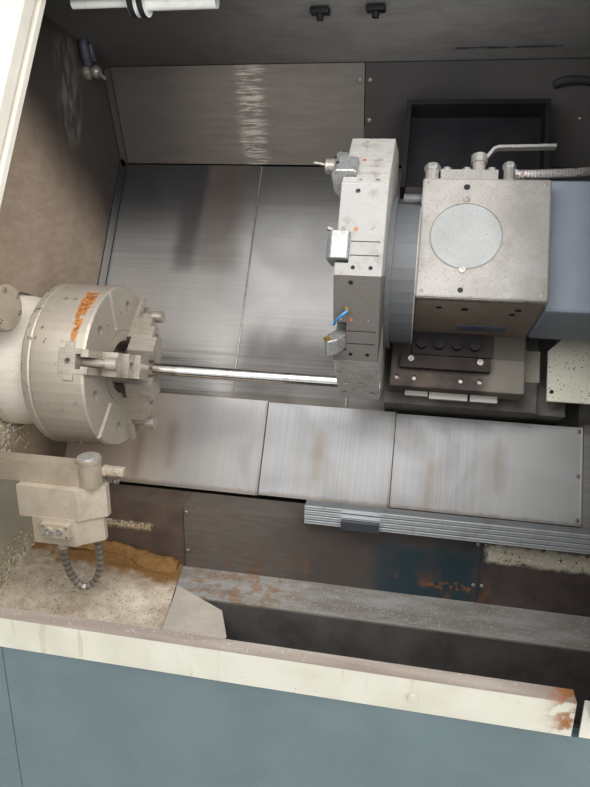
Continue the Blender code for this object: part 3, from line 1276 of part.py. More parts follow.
def build_console():
    """Operator's console on the right front panel, with its screen and stop button."""
    low, high = CONSOLE_Z
    face = [
        (CONSOLE_FRONT - CONSOLE_LEDGE, low), (CONSOLE_FRONT - CONSOLE_LEDGE, low + 0.035),
        (CONSOLE_FRONT, low + 0.045), (CONSOLE_FRONT, low + 0.09), (CONSOLE_FRONT + 0.07, high),
    ]
    back_low = on_plane(DOOR_PLANE + GAP, low)
    back_high = on_plane(DOOR_PLANE + GAP, high)
    console = prism("console", [back_low, *face, back_high], CONSOLE_X, CREAM, SPINDLE)
    round_edges(console, 0.006)
    lean = atan2(face[4][0] - face[3][0], face[4][1] - face[3][1])
    frame = empty("console_face", ((CONSOLE_X[0] + CONSOLE_X[1]) / 2, *face[3]), -lean, SPINDLE)
    recess = block("screen_recess", (-0.220, 0.060), (-0.02, 0.006), (0.110, 0.320), None, frame)
    cut(console, recess)
    keys = bmesh.new()
    for row in range(5):
        for column in range(4):
            x = 0.090 + column * 0.032
            z = 0.150 + row * 0.034
            prism_into(keys, rectangle((-0.004, 0.004), (z, z + 0.024)), (x, x + 0.024))
    fuse(console, add_object("console_keys", keys, None, frame))
    button = empty("stop_button_seat", (-0.200, 0.0, 0.050), parent=frame)
    collar = turned_about_y("stop_collar", [
        (0.004, 0.0), (0.004, 0.020), (BUTTON_SEAT, 0.020), (BUTTON_SEAT, 0.0),
    ], None, button)
    fuse(console, collar)
    well = turned_about_y("stop_well", [
        (0.014, 0.0), (0.014, STEM_RADIUS + GAP), (BUTTON_SEAT - 0.01, STEM_RADIUS + GAP),
        (BUTTON_SEAT - 0.01, 0.0),
    ], None, button)
    cut(console, well)
    back = BUTTON_SEAT - BUTTON_TRAVEL - GAP
    turned_about_y("stop_button", [
        (BUTTON_SEAT + 0.010, 0.0), (BUTTON_SEAT + 0.010, STEM_RADIUS), (back, STEM_RADIUS),
        (back, 0.017), (back - 0.008, 0.019), (back - 0.014, 0.013), (back - 0.016, 0.0),
    ], RED, button)


def turned_about_y(name, profile, mat, parent, sides=28):
    """A profile of (y, radius) points spun about the parent's Y."""
    obj = turned(name, profile, mat, parent, sides)
    obj.data.transform(Matrix.Rotation(pi / 2, 4, "Z"))
    return obj


def build_cabinet():
    rear = SHELL_REAR + GAP
    back = SHELL_REAR + CABINET_DEPTH
    low = -AXIS_HEIGHT + CABINET_FOOT
    high = low + CABINET_HEIGHT
    cabinet = block("electrical_cabinet", CABINET_X, (rear, back), (low, high), CREAM, SPINDLE)
    round_edges(cabinet, 0.006)
    seams = bmesh.new()
    middle = (CABINET_X[0] + CABINET_X[1]) / 2
    for x in (CABINET_X[0] + 0.020, middle, CABINET_X[1] - 0.020):
        prism_into(seams, rectangle((back - 0.003, back + 0.01), (low + 0.020, high - 0.020)),
                   (x - 0.0015, x + 0.0015))
    cut(cabinet, add_object("cabinet_seams", seams, None, SPINDLE))
    latches = rods("cabinet_latches", [((x, back - 0.006, -0.15), (x, back + 0.01, -0.15), 0.016)
                   for x in (middle - 0.040, middle + 0.040)], None, SPINDLE, 20)
    cut(cabinet, latches)
    tank_top = -AXIS_HEIGHT + TANK_HEIGHT
    tank = block("coolant_tank", TANK_X, (rear, back), (-AXIS_HEIGHT, tank_top), TEAL, SPINDLE)
    round_edges(tank, 0.006)
    pump_y = (rear + back) / 2
    pump = rods("coolant_pump", [
        ((PUMP_X, pump_y, tank_top - 0.005), (PUMP_X, pump_y, tank_top + PUMP_HEIGHT), PUMP_RADIUS),
    ], None, SPINDLE, 32)
    fuse(tank, pump)


def build_lathe():
    build_bed()
    build_trough()
    build_walls()
    build_top_panels()
    build_shell()
    build_base()
    build_left_covers()
    build_right_cover()
    tail = build_headstock()
    build_drive(tail)
    build_chuck()
    build_turret()
    build_head()
    build_saddle()
    build_door()
    build_setter()
    build_console()
    build_cabinet()
    bpy.context.view_layer.update()


build_lathe()
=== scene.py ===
"""Looks for the slant-bed turning lathe: materials, small hardware, lights and camera."""

from math import atan2, cos, pi, radians, sin

import bmesh
import bpy
import numpy as np
from mathutils import Matrix, Vector


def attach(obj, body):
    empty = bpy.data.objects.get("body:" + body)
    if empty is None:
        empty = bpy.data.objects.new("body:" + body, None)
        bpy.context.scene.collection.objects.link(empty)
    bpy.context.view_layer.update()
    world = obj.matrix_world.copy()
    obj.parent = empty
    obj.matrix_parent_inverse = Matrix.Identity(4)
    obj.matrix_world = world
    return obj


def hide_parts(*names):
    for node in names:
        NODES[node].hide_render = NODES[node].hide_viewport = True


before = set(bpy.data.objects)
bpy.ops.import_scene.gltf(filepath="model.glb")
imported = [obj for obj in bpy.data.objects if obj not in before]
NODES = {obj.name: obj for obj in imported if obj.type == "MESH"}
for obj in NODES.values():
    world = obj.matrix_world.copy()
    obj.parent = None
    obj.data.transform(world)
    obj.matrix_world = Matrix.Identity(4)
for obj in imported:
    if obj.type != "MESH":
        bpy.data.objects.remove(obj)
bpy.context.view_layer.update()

# The spindle frame's origin in the row frame, and the bed frame tilted about its X
ORIGIN = Vector((-0.350, -0.290, 1.150))
SLANT = radians(60.0)
SPINDLE = Matrix.Translation(ORIGIN)
BED = SPINDLE @ Matrix.Rotation(SLANT, 4, "X")
TURRET_AXIS_U = 0.218


# Materials

class Look:
    """One node-based material, with short calls for the nodes it needs."""

    def __init__(self, name, metallic=0, roughness=0.5, **sockets):
        self.mat = bpy.data.materials.new(name)
        self.mat.use_nodes = True
        self.tree = self.mat.node_tree
        self.shader = self.tree.nodes["Principled BSDF"]
        self.shader.inputs["Metallic"].default_value = metallic
        self.shader.inputs["Roughness"].default_value = roughness
        for key, value in sockets.items():
            self.shader.inputs[key.replace("_", " ").title().replace("Ior", "IOR")].default_value = value
        coord = self.node("ShaderNodeTexCoord")
        self.origin = self.place(coord.outputs["Object"], Matrix.Translation(-ORIGIN))
        self.cache = {}
        self.base = None
        self.rough = roughness

    def node(self, kind, **props):
        made = self.tree.nodes.new(kind)
        for key, value in props.items():
            setattr(made, key, value)
        return made

    def put(self, socket, value):
        if isinstance(value, bpy.types.NodeSocket):
            self.tree.links.new(value, socket)
        elif isinstance(value, tuple) and len(value) == 3 and socket.type == "RGBA":
            socket.default_value = (*value, 1)
        else:
            socket.default_value = value

    def place(self, vector, matrix):
        made = self.node("ShaderNodeMapping")
        self.put(made.inputs["Vector"], vector)
        made.inputs["Location"].default_value = matrix.to_translation()
        made.inputs["Rotation"].default_value = matrix.to_euler()
        return made.outputs[0]

    def coords(self, kind="spindle"):
        """Spindle-frame, bed-frame or round (x, angle, radius) coordinates."""
        if kind in self.cache:
            return self.cache[kind]
        if kind == "spindle":
            made = self.origin
        elif kind == "bed":
            made = self.place(self.origin, Matrix.Rotation(-SLANT, 4, "X"))
        else:
            x, y, z = self.parts(self.origin)
            radius = self.math("SQRT", self.add(self.times(y, y), self.times(z, z)))
            turn = self.math("ARCTAN2", z, y)
            join = self.node("ShaderNodeCombineXYZ")
            for socket, value in zip(join.inputs, (x, turn, radius)):
                self.put(socket, value)
            made = join.outputs[0]
        self.cache[kind] = made
        return made

    def parts(self, vector):
        made = self.node("ShaderNodeSeparateXYZ")
        self.put(made.inputs[0], vector)
        return made.outputs[0], made.outputs[1], made.outputs[2]

    def math(self, operation, a, b=0):
        made = self.node("ShaderNodeMath", operation=operation)
        self.put(made.inputs[0], a)
        self.put(made.inputs[1], b)
        return made.outputs[0]

    def add(self, a, b):
        return self.math("ADD", a, b)

    def minus(self, a, b):
        return self.math("SUBTRACT", a, b)

    def stretch(self, vector, scale):
        made = self.node("ShaderNodeMapping")
        self.put(made.inputs["Vector"], vector)
        made.inputs["Scale"].default_value = scale
        return made.outputs[0]

    def noise(self, scale, kind="spindle", detail=4, rough=0.55, distort=0):
        """Noise from 0 to 1. scale is one number or three, in cycles per metre."""
        vector = self.coords(kind)
        if isinstance(scale, tuple):
            vector = self.stretch(vector, scale)
            scale = 1
        made = self.node("ShaderNodeTexNoise")
        self.put(made.inputs["Vector"], vector)
        made.inputs["Scale"].default_value = scale
        made.inputs["Detail"].default_value = detail
        made.inputs["Roughness"].default_value = rough
        made.inputs["Distortion"].default_value = distort
        return made.outputs["Fac"]

    def cloud(self, low, high, *args, **kwargs):
        """Noise with its values between two limits spread from 0 to 1."""
        return self.ramp(self.noise(*args, **kwargs), low, high)

    def ramp(self, value, low, high, start=0, end=1):
        """Smooth step of a value between two limits."""
        made = self.node("ShaderNodeMapRange", interpolation_type="SMOOTHSTEP")
        for socket, v in zip(made.inputs[:5], (value, low, high, start, end)):
            self.put(socket, v)
        return made.outputs[0]

    def box(self, limits, soft=0.01, kind="spindle", wander=None):
        """Mask that is 1 inside limits {axis: (low, high)}, with soft edges."""
        axes = dict(zip("xyz", self.parts(self.coords(kind))))
        mask = None
        for axis, (low, high) in limits.items():
            value = axes[axis]
            if wander is not None:
                value = self.add(value, wander)
            side = self.times(self.ramp(value, low - soft, low + soft),
                self.ramp(value, high - soft, high + soft, 1, 0))
            mask = side if mask is None else self.times(mask, side)
        return mask

    def wobble(self, scale, size):
        """Noise centred on nought, to roughen a mask's edge."""
        return self.times(self.minus(self.noise(scale), 0.5), size)

    def mix(self, factor, a, b):
        made = self.node("ShaderNodeMix", data_type="RGBA")
        self.put(made.inputs[0], factor)
        self.put(made.inputs[6], a)
        self.put(made.inputs[7], b)
        return made.outputs[2]

    def blend(self, factor, a, b):
        made = self.node("ShaderNodeMix", data_type="FLOAT")
        self.put(made.inputs[0], factor)
        self.put(made.inputs[2], a)
        self.put(made.inputs[3], b)
        return made.outputs[0]

    def times(self, *masks):
        made = masks[0]
        for mask in masks[1:]:
            made = self.math("MULTIPLY", made, mask)
        return made

    def lay(self, colour, *masks):
        """Lay a colour over what is there, as far as the masks let it."""
        self.base = self.mix(self.times(*masks), self.base, colour)

    def finish(self, rough=None, metallic=None, bumps=()):
        self.put(self.shader.inputs["Base Color"], self.base)
        if rough is not None:
            self.put(self.shader.inputs["Roughness"], rough)
        if metallic is not None:
            self.put(self.shader.inputs["Metallic"], metallic)
        normal = None
        for height, depth in bumps:
            made = self.node("ShaderNodeBump")
            made.inputs["Distance"].default_value = depth
            self.put(made.inputs["Height"], height)
            if normal is not None:
                self.put(made.inputs["Normal"], normal)
            normal = made.outputs[0]
        if normal is not None:
            self.put(self.shader.inputs["Normal"], normal)
        return self.mat


RUST = (0.26, 0.10, 0.03)
GRIME = (0.045, 0.037, 0.030)


def paint(name, colour, worn=0.25, rough=0.45, speck=260, grime=0.35, grime_colour=GRIME):
    """Old machine paint: slight mottling, oily grime, dark specks and orange-peel texture."""
    look = Look(name, 0, rough)
    mottle = look.cloud(0.3, 0.7, 9, detail=5)
    dark = tuple(c * 0.86 for c in colour)
    look.base = look.mix(mottle, colour, dark)
    soil = look.times(look.cloud(0.48, 0.8, 4, detail=8, rough=0.65), grime)
    look.lay(grime_colour, soil)
    specks = look.times(look.cloud(0.66, 0.74, speck, detail=2), worn)
    look.lay(grime_colour, specks)
    return look.finish(look.blend(soil, rough, rough + 0.2),
        bumps=[(look.noise(420, detail=2), 0.00015), (specks, -0.0002)])


def cream_sill():
    """Sill paint: worn to a brown film on top, chipped, and rusty at its right end."""
    look = Look("worn_cream_sill", 0, 0.45)
    _, _, z = look.parts(look.coords())
    mottle = look.cloud(0.3, 0.75, 14, detail=6)
    look.base = look.mix(mottle, (0.585, 0.565, 0.475), (0.5, 0.475, 0.38))
    top = look.times(look.ramp(z, -0.254, -0.2525),
        look.ramp(look.noise((5, 40, 40), detail=8), 0.25, 0.6, 0.7, 1))
    look.lay(look.mix(look.noise((12, 60, 60), detail=8), (0.285, 0.23, 0.195), (0.19, 0.15, 0.125)), top)
    end = look.box({"x": (0.765, 0.86)}, 0.02, wander=look.wobble(40, 0.05))
    look.lay(RUST, end, look.cloud(0.4, 0.6, 70, detail=8))
    drips = look.times(look.cloud(0.62, 0.72, (60, 60, 5), detail=5), 0.5)
    look.lay((0.3, 0.22, 0.14), drips)
    chips = look.cloud(0.7, 0.74, 190, detail=3)
    look.lay((0.07, 0.05, 0.04), chips, 0.8)
    return look.finish(look.blend(top, 0.42, 0.65),
        bumps=[(look.noise(380, detail=3), 0.0002), (chips, -0.0003)])


def sheet(name, light, dark, grain, kind="spindle", metallic=0.85, rough=0.36, stain=0.5,
        stain_colour=(0.13, 0.085, 0.05), extra=None):
    """Stainless or steel sheet: drawn grain, cloudy stains and water marks."""
    look = Look(name, metallic, rough)
    lines = look.noise(grain, kind, detail=3, rough=0.7)
    clouds = look.noise(7, kind, detail=6, rough=0.6, distort=0.6)
    look.base = look.mix(look.ramp(lines, 0.3, 0.7), dark, light)
    look.lay(stain_colour, look.ramp(clouds, 0.42, 0.72), stain)
    spots = look.times(look.cloud(0.64, 0.72, 130, kind, detail=5), 0.45 * stain)
    look.lay(stain_colour, spots)
    look.rough = look.blend(look.ramp(clouds, 0.35, 0.75), rough, rough + 0.2)
    bumps = [(lines, 4e-05), (look.noise(5, kind, detail=1), 0.001)]
    if extra:
        extra(look)
    return look.finish(look.rough, bumps=bumps)


def upper_marks(look):
    """Painted dark and warm reflections high up, pale painted highlights mid-way, painted shade and stains
    low down.
    """
    x, u, _ = look.parts(look.coords("bed"))
    sway = look.wobble((3, 30, 30), 0.035)
    reach = look.times(look.ramp(x, 0.05, 0.2), 0.05)
    # Painted dark reflection over the top of the sheets.
    painted_dark_reflection = look.ramp(look.minus(look.add(u, sway), reach), 0.32, 0.58)
    look.lay((0.045, 0.043, 0.042), painted_dark_reflection, 0.86)
    # Painted pale highlight across the middle of the sheets.
    painted_highlight = look.times(look.box({"x": (0.13, 0.45), "y": (0.24, 0.47)}, 0.06, "bed",
        look.wobble((2, 20, 20), 0.04)), 0.55)
    look.lay((0.62, 0.615, 0.61), painted_highlight)
    # Painted shade low on the sheets, under the highlight; the sheets are also rougher there.
    under = look.times(look.box({"x": (0.14, 0.45), "y": (-0.02, 0.17)}, 0.05, "bed"), 0.7)
    look.lay((0.12, 0.115, 0.108), under)
    # Painted dark reflection high along the left end.
    left = look.times(look.ramp(look.add(x, look.wobble((2, 60, 60), 0.012)), 0.016, 0),
        look.ramp(look.add(u, sway), 0.38, 0.54))
    look.lay((0.035, 0.034, 0.035), left, 0.72)
    # Painted warm reflection near the left end.
    warm = look.times(look.box({"x": (0.01, 0.115), "y": (0.325, 0.7)}, 0.022, "bed",
        look.wobble((3, 60, 60), 0.03)), 0.42)
    look.lay((0.125, 0.082, 0.062), warm)
    # Painted dark reflection left of the sheet overlap.
    painted_deep_reflection = look.box({"x": (-0.05, 0.006), "y": (0.325, 0.7)}, 0.018, "bed", look.wobble((3, 60, 60), 0.03))
    look.lay((0.05, 0.047, 0.047), painted_deep_reflection, 0.62)
    # Painted pale highlight low on the left length.
    pale = look.times(look.box({"x": (-0.21, 0.14), "y": (0.1, 0.34)}, 0.05, "bed"), 0.3)
    look.lay((0.52, 0.5, 0.46), pale)
    low = look.times(look.box({"x": (-0.21, 0.4), "y": (-0.02, 0.12)}, 0.03, "bed"),
        look.cloud(0.42, 0.62, (3, 120, 120), "bed", detail=4), 0.65)
    look.lay((0.13, 0.112, 0.095), low)
    edge = look.box({"y": (-0.02, 0.02)}, 0.008, "bed", look.wobble(30, 0.012))
    look.lay((0.12, 0.09, 0.06), edge, 0.5)
    look.rough = look.add(look.rough, look.times(under, 0.4))


def lower_marks(look):
    """Thin stains that run down the lower covers, painted light on a warm tint by the headstock, a painted
    sheen on the last length.
    """
    x, u, _ = look.parts(look.coords("bed"))
    streaks = look.noise((45, 2.2, 2.2), "bed", detail=6, rough=0.65)
    low = look.ramp(u, -0.02, -0.21, 0.2, 1)
    look.lay((0.24, 0.185, 0.13), look.ramp(streaks, 0.52, 0.8), low, 0.55)
    # Warm tint towards the headstock, made pale with painted light where the chuck casts shade.
    left = look.ramp(look.add(x, look.wobble((12, 3, 3), 0.05)), 0.1, -0.06)
    look.lay((0.78, 0.6, 0.47), left, 0.88)
    first = look.times(look.ramp(x, 0.246, 0.24), 0.45)
    look.lay((0.28, 0.255, 0.23), first)
    # Painted sheen: the last length lighter.
    painted_last_sheen = look.times(look.ramp(x, 0.66, 0.86), 0.5)
    look.lay((0.56, 0.56, 0.55), painted_last_sheen)
    for place, reach in ((0.035, -0.084), (-0.043, -0.114), (0.373, -0.078), (0.613, -0.122),
            (0.754, -0.066)):
        spot = look.box({"x": (place - 0.01, place + 0.01), "y": (reach - 0.09, reach + 0.02)}, 0.014,
            "bed", look.wobble((30, 8, 8), 0.03))
        look.lay((0.2, 0.145, 0.09), spot, 0.45)
    bottom = look.box({"y": (-0.23, -0.203)}, 0.005, "bed", look.wobble(60, 0.01))
    look.lay((0.12, 0.085, 0.055), bottom, 0.6)


def panel_regions(look):
    """Three lengths of back panel: brown at the left, grey and rusty, then dark brown."""
    x, _, z = look.parts(look.coords())
    rusty = look.noise(18, detail=8, rough=0.7)
    brown = look.mix(look.ramp(rusty, 0.3, 0.7), (0.125, 0.088, 0.066), (0.078, 0.056, 0.044))
    look.lay(brown, look.ramp(x, 0.1045, 0.1055, 1, 0))
    shade = look.times(look.ramp(look.add(x, look.wobble(8, 0.1)), 0.24, 0.42), 0.72)
    look.lay((0.06, 0.05, 0.046), shade, look.ramp(x, 0.7195, 0.7205, 1, 0))
    dark = look.mix(look.ramp(rusty, 0.35, 0.7), (0.09, 0.066, 0.058), (0.052, 0.04, 0.037))
    look.lay(dark, look.ramp(x, 0.7195, 0.7205))
    blue = look.box({"x": (0.52, 0.716), "z": (-0.47, -0.33)}, 0.03, wander=look.wobble(14, 0.06))
    look.lay((0.015, 0.038, 0.05), blue, 0.93)
    rust = look.times(look.cloud(0.54, 0.68, (22, 20, 12), detail=8), look.ramp(z, -0.38, -0.44, 0.15, 1))
    look.lay((0.2, 0.085, 0.035), rust, 0.6)
    orange = look.times(look.box({"x": (0.61, 0.712), "z": (-0.428, -0.412)}, 0.005,
        wander=look.wobble(40, 0.02)), look.cloud(0.47, 0.6, 110, detail=7), 0.6)
    look.lay((0.3, 0.12, 0.03), orange)
    flakes = look.times(look.box({"x": (0.73, 1.2), "z": (-0.354, -0.316)}, 0.006,
        wander=look.wobble(50, 0.026)), look.cloud(0.34, 0.44, 120, detail=6))
    look.lay((0.5, 0.46, 0.36), flakes)
    crumbs = look.times(look.box({"x": (-0.16, 0.03), "z": (-0.372, -0.356)}, 0.005,
        wander=look.wobble(60, 0.018)), look.cloud(0.38, 0.48, 150, detail=5))
    look.lay((0.42, 0.33, 0.2), crumbs)


def wall_marks(look):
    """Headstock wall: dark at the top, warm below, whitish with caked chips at the bottom."""
    _, y, z = look.parts(look.coords())
    rise = look.add(z, look.times(look.minus(y, 0.1), 0.8))
    rise = look.add(rise, look.wobble((6, 6, 3), 0.1))
    look.lay((0.022, 0.018, 0.017), look.ramp(rise, 0.34, 0.58), 0.95)
    smear = look.times(look.box({"y": (0.245, 0.315), "z": (0.43, 0.64)}, 0.03,
        wander=look.wobble(16, 0.05)), look.cloud(0.42, 0.62, (60, 60, 20), detail=6), 0.45)
    look.lay((0.24, 0.22, 0.19), smear)
    shade = look.times(look.ramp(y, 0.1, 0.36), 0.1)
    look.lay((0.11, 0.085, 0.07), shade)
    pale = look.times(look.ramp(look.add(z, look.wobble(9, 0.05)), -0.205, -0.235),
        look.ramp(y, 0.03, -0.06))
    look.lay((0.46, 0.45, 0.37), pale)
    dim = look.times(look.ramp(z, -0.1, -0.2), look.ramp(y, 0, 0.08), 0.75)
    look.lay((0.085, 0.07, 0.06), dim)
    clump = look.box({"y": (-0.3, 0.03), "z": (-0.2, -0.05)}, 0.022, wander=look.wobble(24, 0.1))
    other = look.box({"y": (-0.3, 0.05), "z": (-0.5, -0.35)}, 0.022, wander=look.wobble(24, 0.1))
    caked = look.times(look.math("MAXIMUM", clump, other), look.cloud(0.4, 0.52, 70, detail=9, rough=0.7))
    look.lay(look.mix(look.noise(160, detail=4), (0.62, 0.56, 0.42), (0.3, 0.22, 0.13)), caked)
    look.rough = look.blend(caked, look.rough, 0.9)


def top_panel_marks(look):
    """Soft level smears left of the seam with one bright sheen, a darker length right of it."""
    x, _, _ = look.parts(look.coords())
    fog = look.noise((7, 26, 34), detail=5, rough=0.6)
    dim = look.times(look.ramp(look.add(x, look.times(fog, 0.16)), 0.2, -0.06), 0.7)
    look.lay((0.05, 0.044, 0.041), dim)
    look.lay((0.1, 0.082, 0.07), look.ramp(fog, 0.5, 0.72), 0.35)
    lines = look.cloud(0.42, 0.62, (18, 90, 190), detail=4, rough=0.7)
    sheen = look.times(look.box({"x": (0.1, 0.16)}, 0.016, wander=look.wobble((30, 70, 110), 0.05)), lines)
    look.lay((0.5, 0.46, 0.4), sheen, 0.75)
    fade = look.times(look.ramp(x, 0.22, 0.4), 0.35)
    look.lay((0.07, 0.062, 0.056), fade)
    right = look.ramp(x, 0.4045, 0.4055)
    look.lay((0.017, 0.016, 0.016), right, 0.9)
    look.lay((0.125, 0.118, 0.114), look.ramp(x, 0.58, 0.92), 0.7)


def ceiling_marks(look):
    """Plain dark sheet, greyer to the right, with dust and one black smear."""
    x, _, _ = look.parts(look.coords())
    look.lay((0.04, 0.038, 0.038), look.ramp(x, 0.6, -0.05), 0.86)
    dust = look.times(look.cloud(0.7, 0.76, 420, detail=2), look.box({"x": (0.2, 0.52)}, 0.08), 0.5)
    look.lay((0.3, 0.28, 0.25), dust)
    smear = look.times(look.box({"x": (0.6, 0.82), "y": (0.414, 0.426)}, 0.006,
        wander=look.wobble((20, 60, 20), 0.01)), look.cloud(0.35, 0.5, (30, 120, 30), detail=5))
    look.lay((0.01, 0.009, 0.009), smear, 0.85)


def cast(name, light, dark, metallic=0.35, rough=0.5, specks=0.6, oil=0.5, scale=1, extra=None):
    """Bare or thinly painted casting with speckles, oil film and fine pits."""
    look = Look(name, metallic, rough)
    broad = look.cloud(0.3, 0.72, 11 * scale, detail=6, rough=0.65)
    look.base = look.mix(broad, light, dark)
    fine = look.times(look.cloud(0.54, 0.68, 330 * scale, detail=3, rough=0.7), specks)
    look.lay(tuple(c * 0.42 for c in dark), fine)
    film = look.times(look.cloud(0.5, 0.75, 5 * scale, detail=7, distort=0.8), oil)
    look.lay((0.1, 0.075, 0.05), film)
    if extra:
        extra(look)
    return look.finish(look.blend(broad, rough, rough + 0.15),
        bumps=[(look.noise(260, detail=3), 0.00022), (fine, -0.00018)])


def housing_marks(look):
    """Turret housing: dark speckled underside, slate collar rings, blotches at the right."""
    x, u, _ = look.parts(look.coords("bed"))
    blotch = look.times(look.cloud(0.46, 0.62, 26, "bed", detail=7, rough=0.7), look.ramp(x, 0.66, 0.72),
        0.6)
    look.lay((0.15, 0.142, 0.135), look.ramp(x, 0.68, 0.73), 0.45)
    look.lay((0.17, 0.155, 0.135), blotch)
    under = look.times(look.ramp(u, 0.1385, 0.1372), look.ramp(x, 0.5565, 0.5575))
    look.lay(look.mix(look.noise(60, "bed", detail=6), (0.31, 0.24, 0.175), (0.155, 0.12, 0.09)), under,
        0.88)
    rings = look.ramp(x, 0.5555, 0.5545)
    look.lay((0.075, 0.08, 0.086), rings, 0.92)


def slide_marks(look):
    """Cross slide: painted shade laid black in the screw recess, red-brown clamp bar, lighter worn block at
    the right.
    """
    x, u, n = look.parts(look.coords("bed"))
    right = look.times(look.ramp(look.add(x, look.wobble(20, 0.03)), 0.69, 0.725), 0.65)
    look.lay((0.25, 0.23, 0.185), right)
    bar = look.times(look.ramp(n, -0.0985, -0.0975), look.box({"y": (0.058, 0.0885)}, 0.0005, "bed"))
    look.lay(look.mix(look.noise(40, detail=6), (0.026, 0.013, 0.011), (0.012, 0.008, 0.007)), bar, 0.95)
    # Painted shade: the screw recess under the housing laid near black.
    recess = look.times(look.ramp(u, 0.0885, 0.0905), look.ramp(n, -0.1015, -0.0985))
    look.lay((0.016, 0.013, 0.012), recess, 0.93)
    wiper = look.ramp(u, 0.0235, 0.0225)
    look.lay((0.46, 0.45, 0.4), wiper, 0.9)


def saddle_marks(look):
    """Saddle: the side plate is speckled cream, its foot green-grey."""
    x, _, n = look.parts(look.coords("bed"))
    plate = look.times(look.ramp(x, 0.826, 0.827), look.ramp(n, -0.163, -0.161),
        look.ramp(n, -0.15, -0.149, 1, 0))
    cream = look.mix(look.cloud(0.35, 0.7, 14, detail=6), (0.8, 0.79, 0.66), (0.74, 0.72, 0.58))
    cream = look.mix(look.cloud(0.62, 0.68, 230, detail=3), cream, (0.12, 0.1, 0.07))
    look.lay(cream, plate)
    foot = look.times(look.ramp(n, -0.296, -0.299), 0.6)
    look.lay((0.13, 0.135, 0.115), foot)


def chuck_steel():
    """Turned steel: fine rings on the rim and face, painted shade on the front face, one streak of water
    rust, dark specks.
    """
    look = Look("turned_chuck_steel", 0.45, 0.38)
    x, _, radius = look.parts(look.coords("round"))
    rings = look.node("ShaderNodeTexNoise", noise_dimensions="1D")
    look.put(rings.inputs["W"], look.add(x, radius))
    rings.inputs["Scale"].default_value = 700
    rings.inputs["Detail"].default_value = 2
    broad = look.cloud(0.3, 0.75, 12, detail=6, rough=0.65)
    look.base = look.mix(rings.outputs["Fac"], (0.475, 0.425, 0.355), (0.385, 0.335, 0.272))
    look.lay((0.27, 0.225, 0.175), broad, 0.35)
    # Painted shade: the front face darker than the rim.
    front = look.times(look.ramp(x, -0.002, -0.001), 0.5)
    look.lay((0.3, 0.268, 0.225), front)
    sx, sy, sz = look.parts(look.coords())
    line = look.math("ABSOLUTE", look.add(look.add(sx, 0.025), look.wobble(40, 0.016)))
    width = look.times(look.minus(sz, 0.07), 0.16)
    stain = look.ramp(look.minus(line, width), 0.005, -0.002)
    side = look.times(look.ramp(sy, -0.035, -0.045), look.ramp(sz, 0.066, 0.078),
        look.ramp(radius, 0.15, 0.155))
    rust = look.times(stain, side, look.cloud(0.28, 0.46, (70, 70, 26), detail=7))
    look.lay(look.mix(look.cloud(0.35, 0.65, 120, detail=4), (0.37, 0.135, 0.022), (0.15, 0.052, 0.014)),
        rust)
    pits = look.times(look.cloud(0.63, 0.68, (150, 70, 70), detail=3), look.ramp(sx, -0.055, -0.075),
        look.ramp(sz, -0.01, 0.03), 0.85)
    look.lay((0.05, 0.04, 0.03), pits)
    grime = look.times(look.cloud(0.6, 0.72, 42, detail=8, rough=0.7), 0.5)
    look.lay((0.1, 0.08, 0.06), grime)
    rough = look.blend(rust, look.blend(broad, 0.34, 0.5), 0.85)
    return look.finish(rough, look.minus(0.45, look.times(rust, 0.4)),
        bumps=[(rings.outputs["Fac"], 3e-05), (look.noise(240, detail=3), 8e-05)])


def rail_marks(look):
    """The trip block clamped on the rail is black, and the grooves are darker deeper in."""
    _, y, _ = look.parts(look.coords())
    groove = look.times(look.ramp(y, 0.0012, 0.004), 0.75)
    look.lay((0.075, 0.075, 0.075), groove)
    trip = look.times(look.box({"x": (0.4445, 0.5205)}, 0.0003), look.ramp(y, -0.0002, -0.0006))
    look.lay((0.02, 0.02, 0.024), trip, 0.93)


def steel(name, light, dark, rough=0.32, metallic=0.9, grain=(180, 180, 180), stain=0.35, extra=None):
    """Ground or machined steel with grain, stains and edge-to-edge variation."""
    look = Look(name, metallic, rough)
    lines = look.noise(grain, detail=3, rough=0.7)
    look.base = look.mix(look.ramp(lines, 0.3, 0.7), light, dark)
    blot = look.times(look.cloud(0.5, 0.7, 30, detail=7, rough=0.65), stain)
    look.lay((0.11, 0.08, 0.055), blot)
    if extra:
        extra(look)
    return look.finish(look.blend(blot, rough, rough + 0.25),
        bumps=[(lines, 6e-05), (look.noise(300, detail=2), 6e-05)])


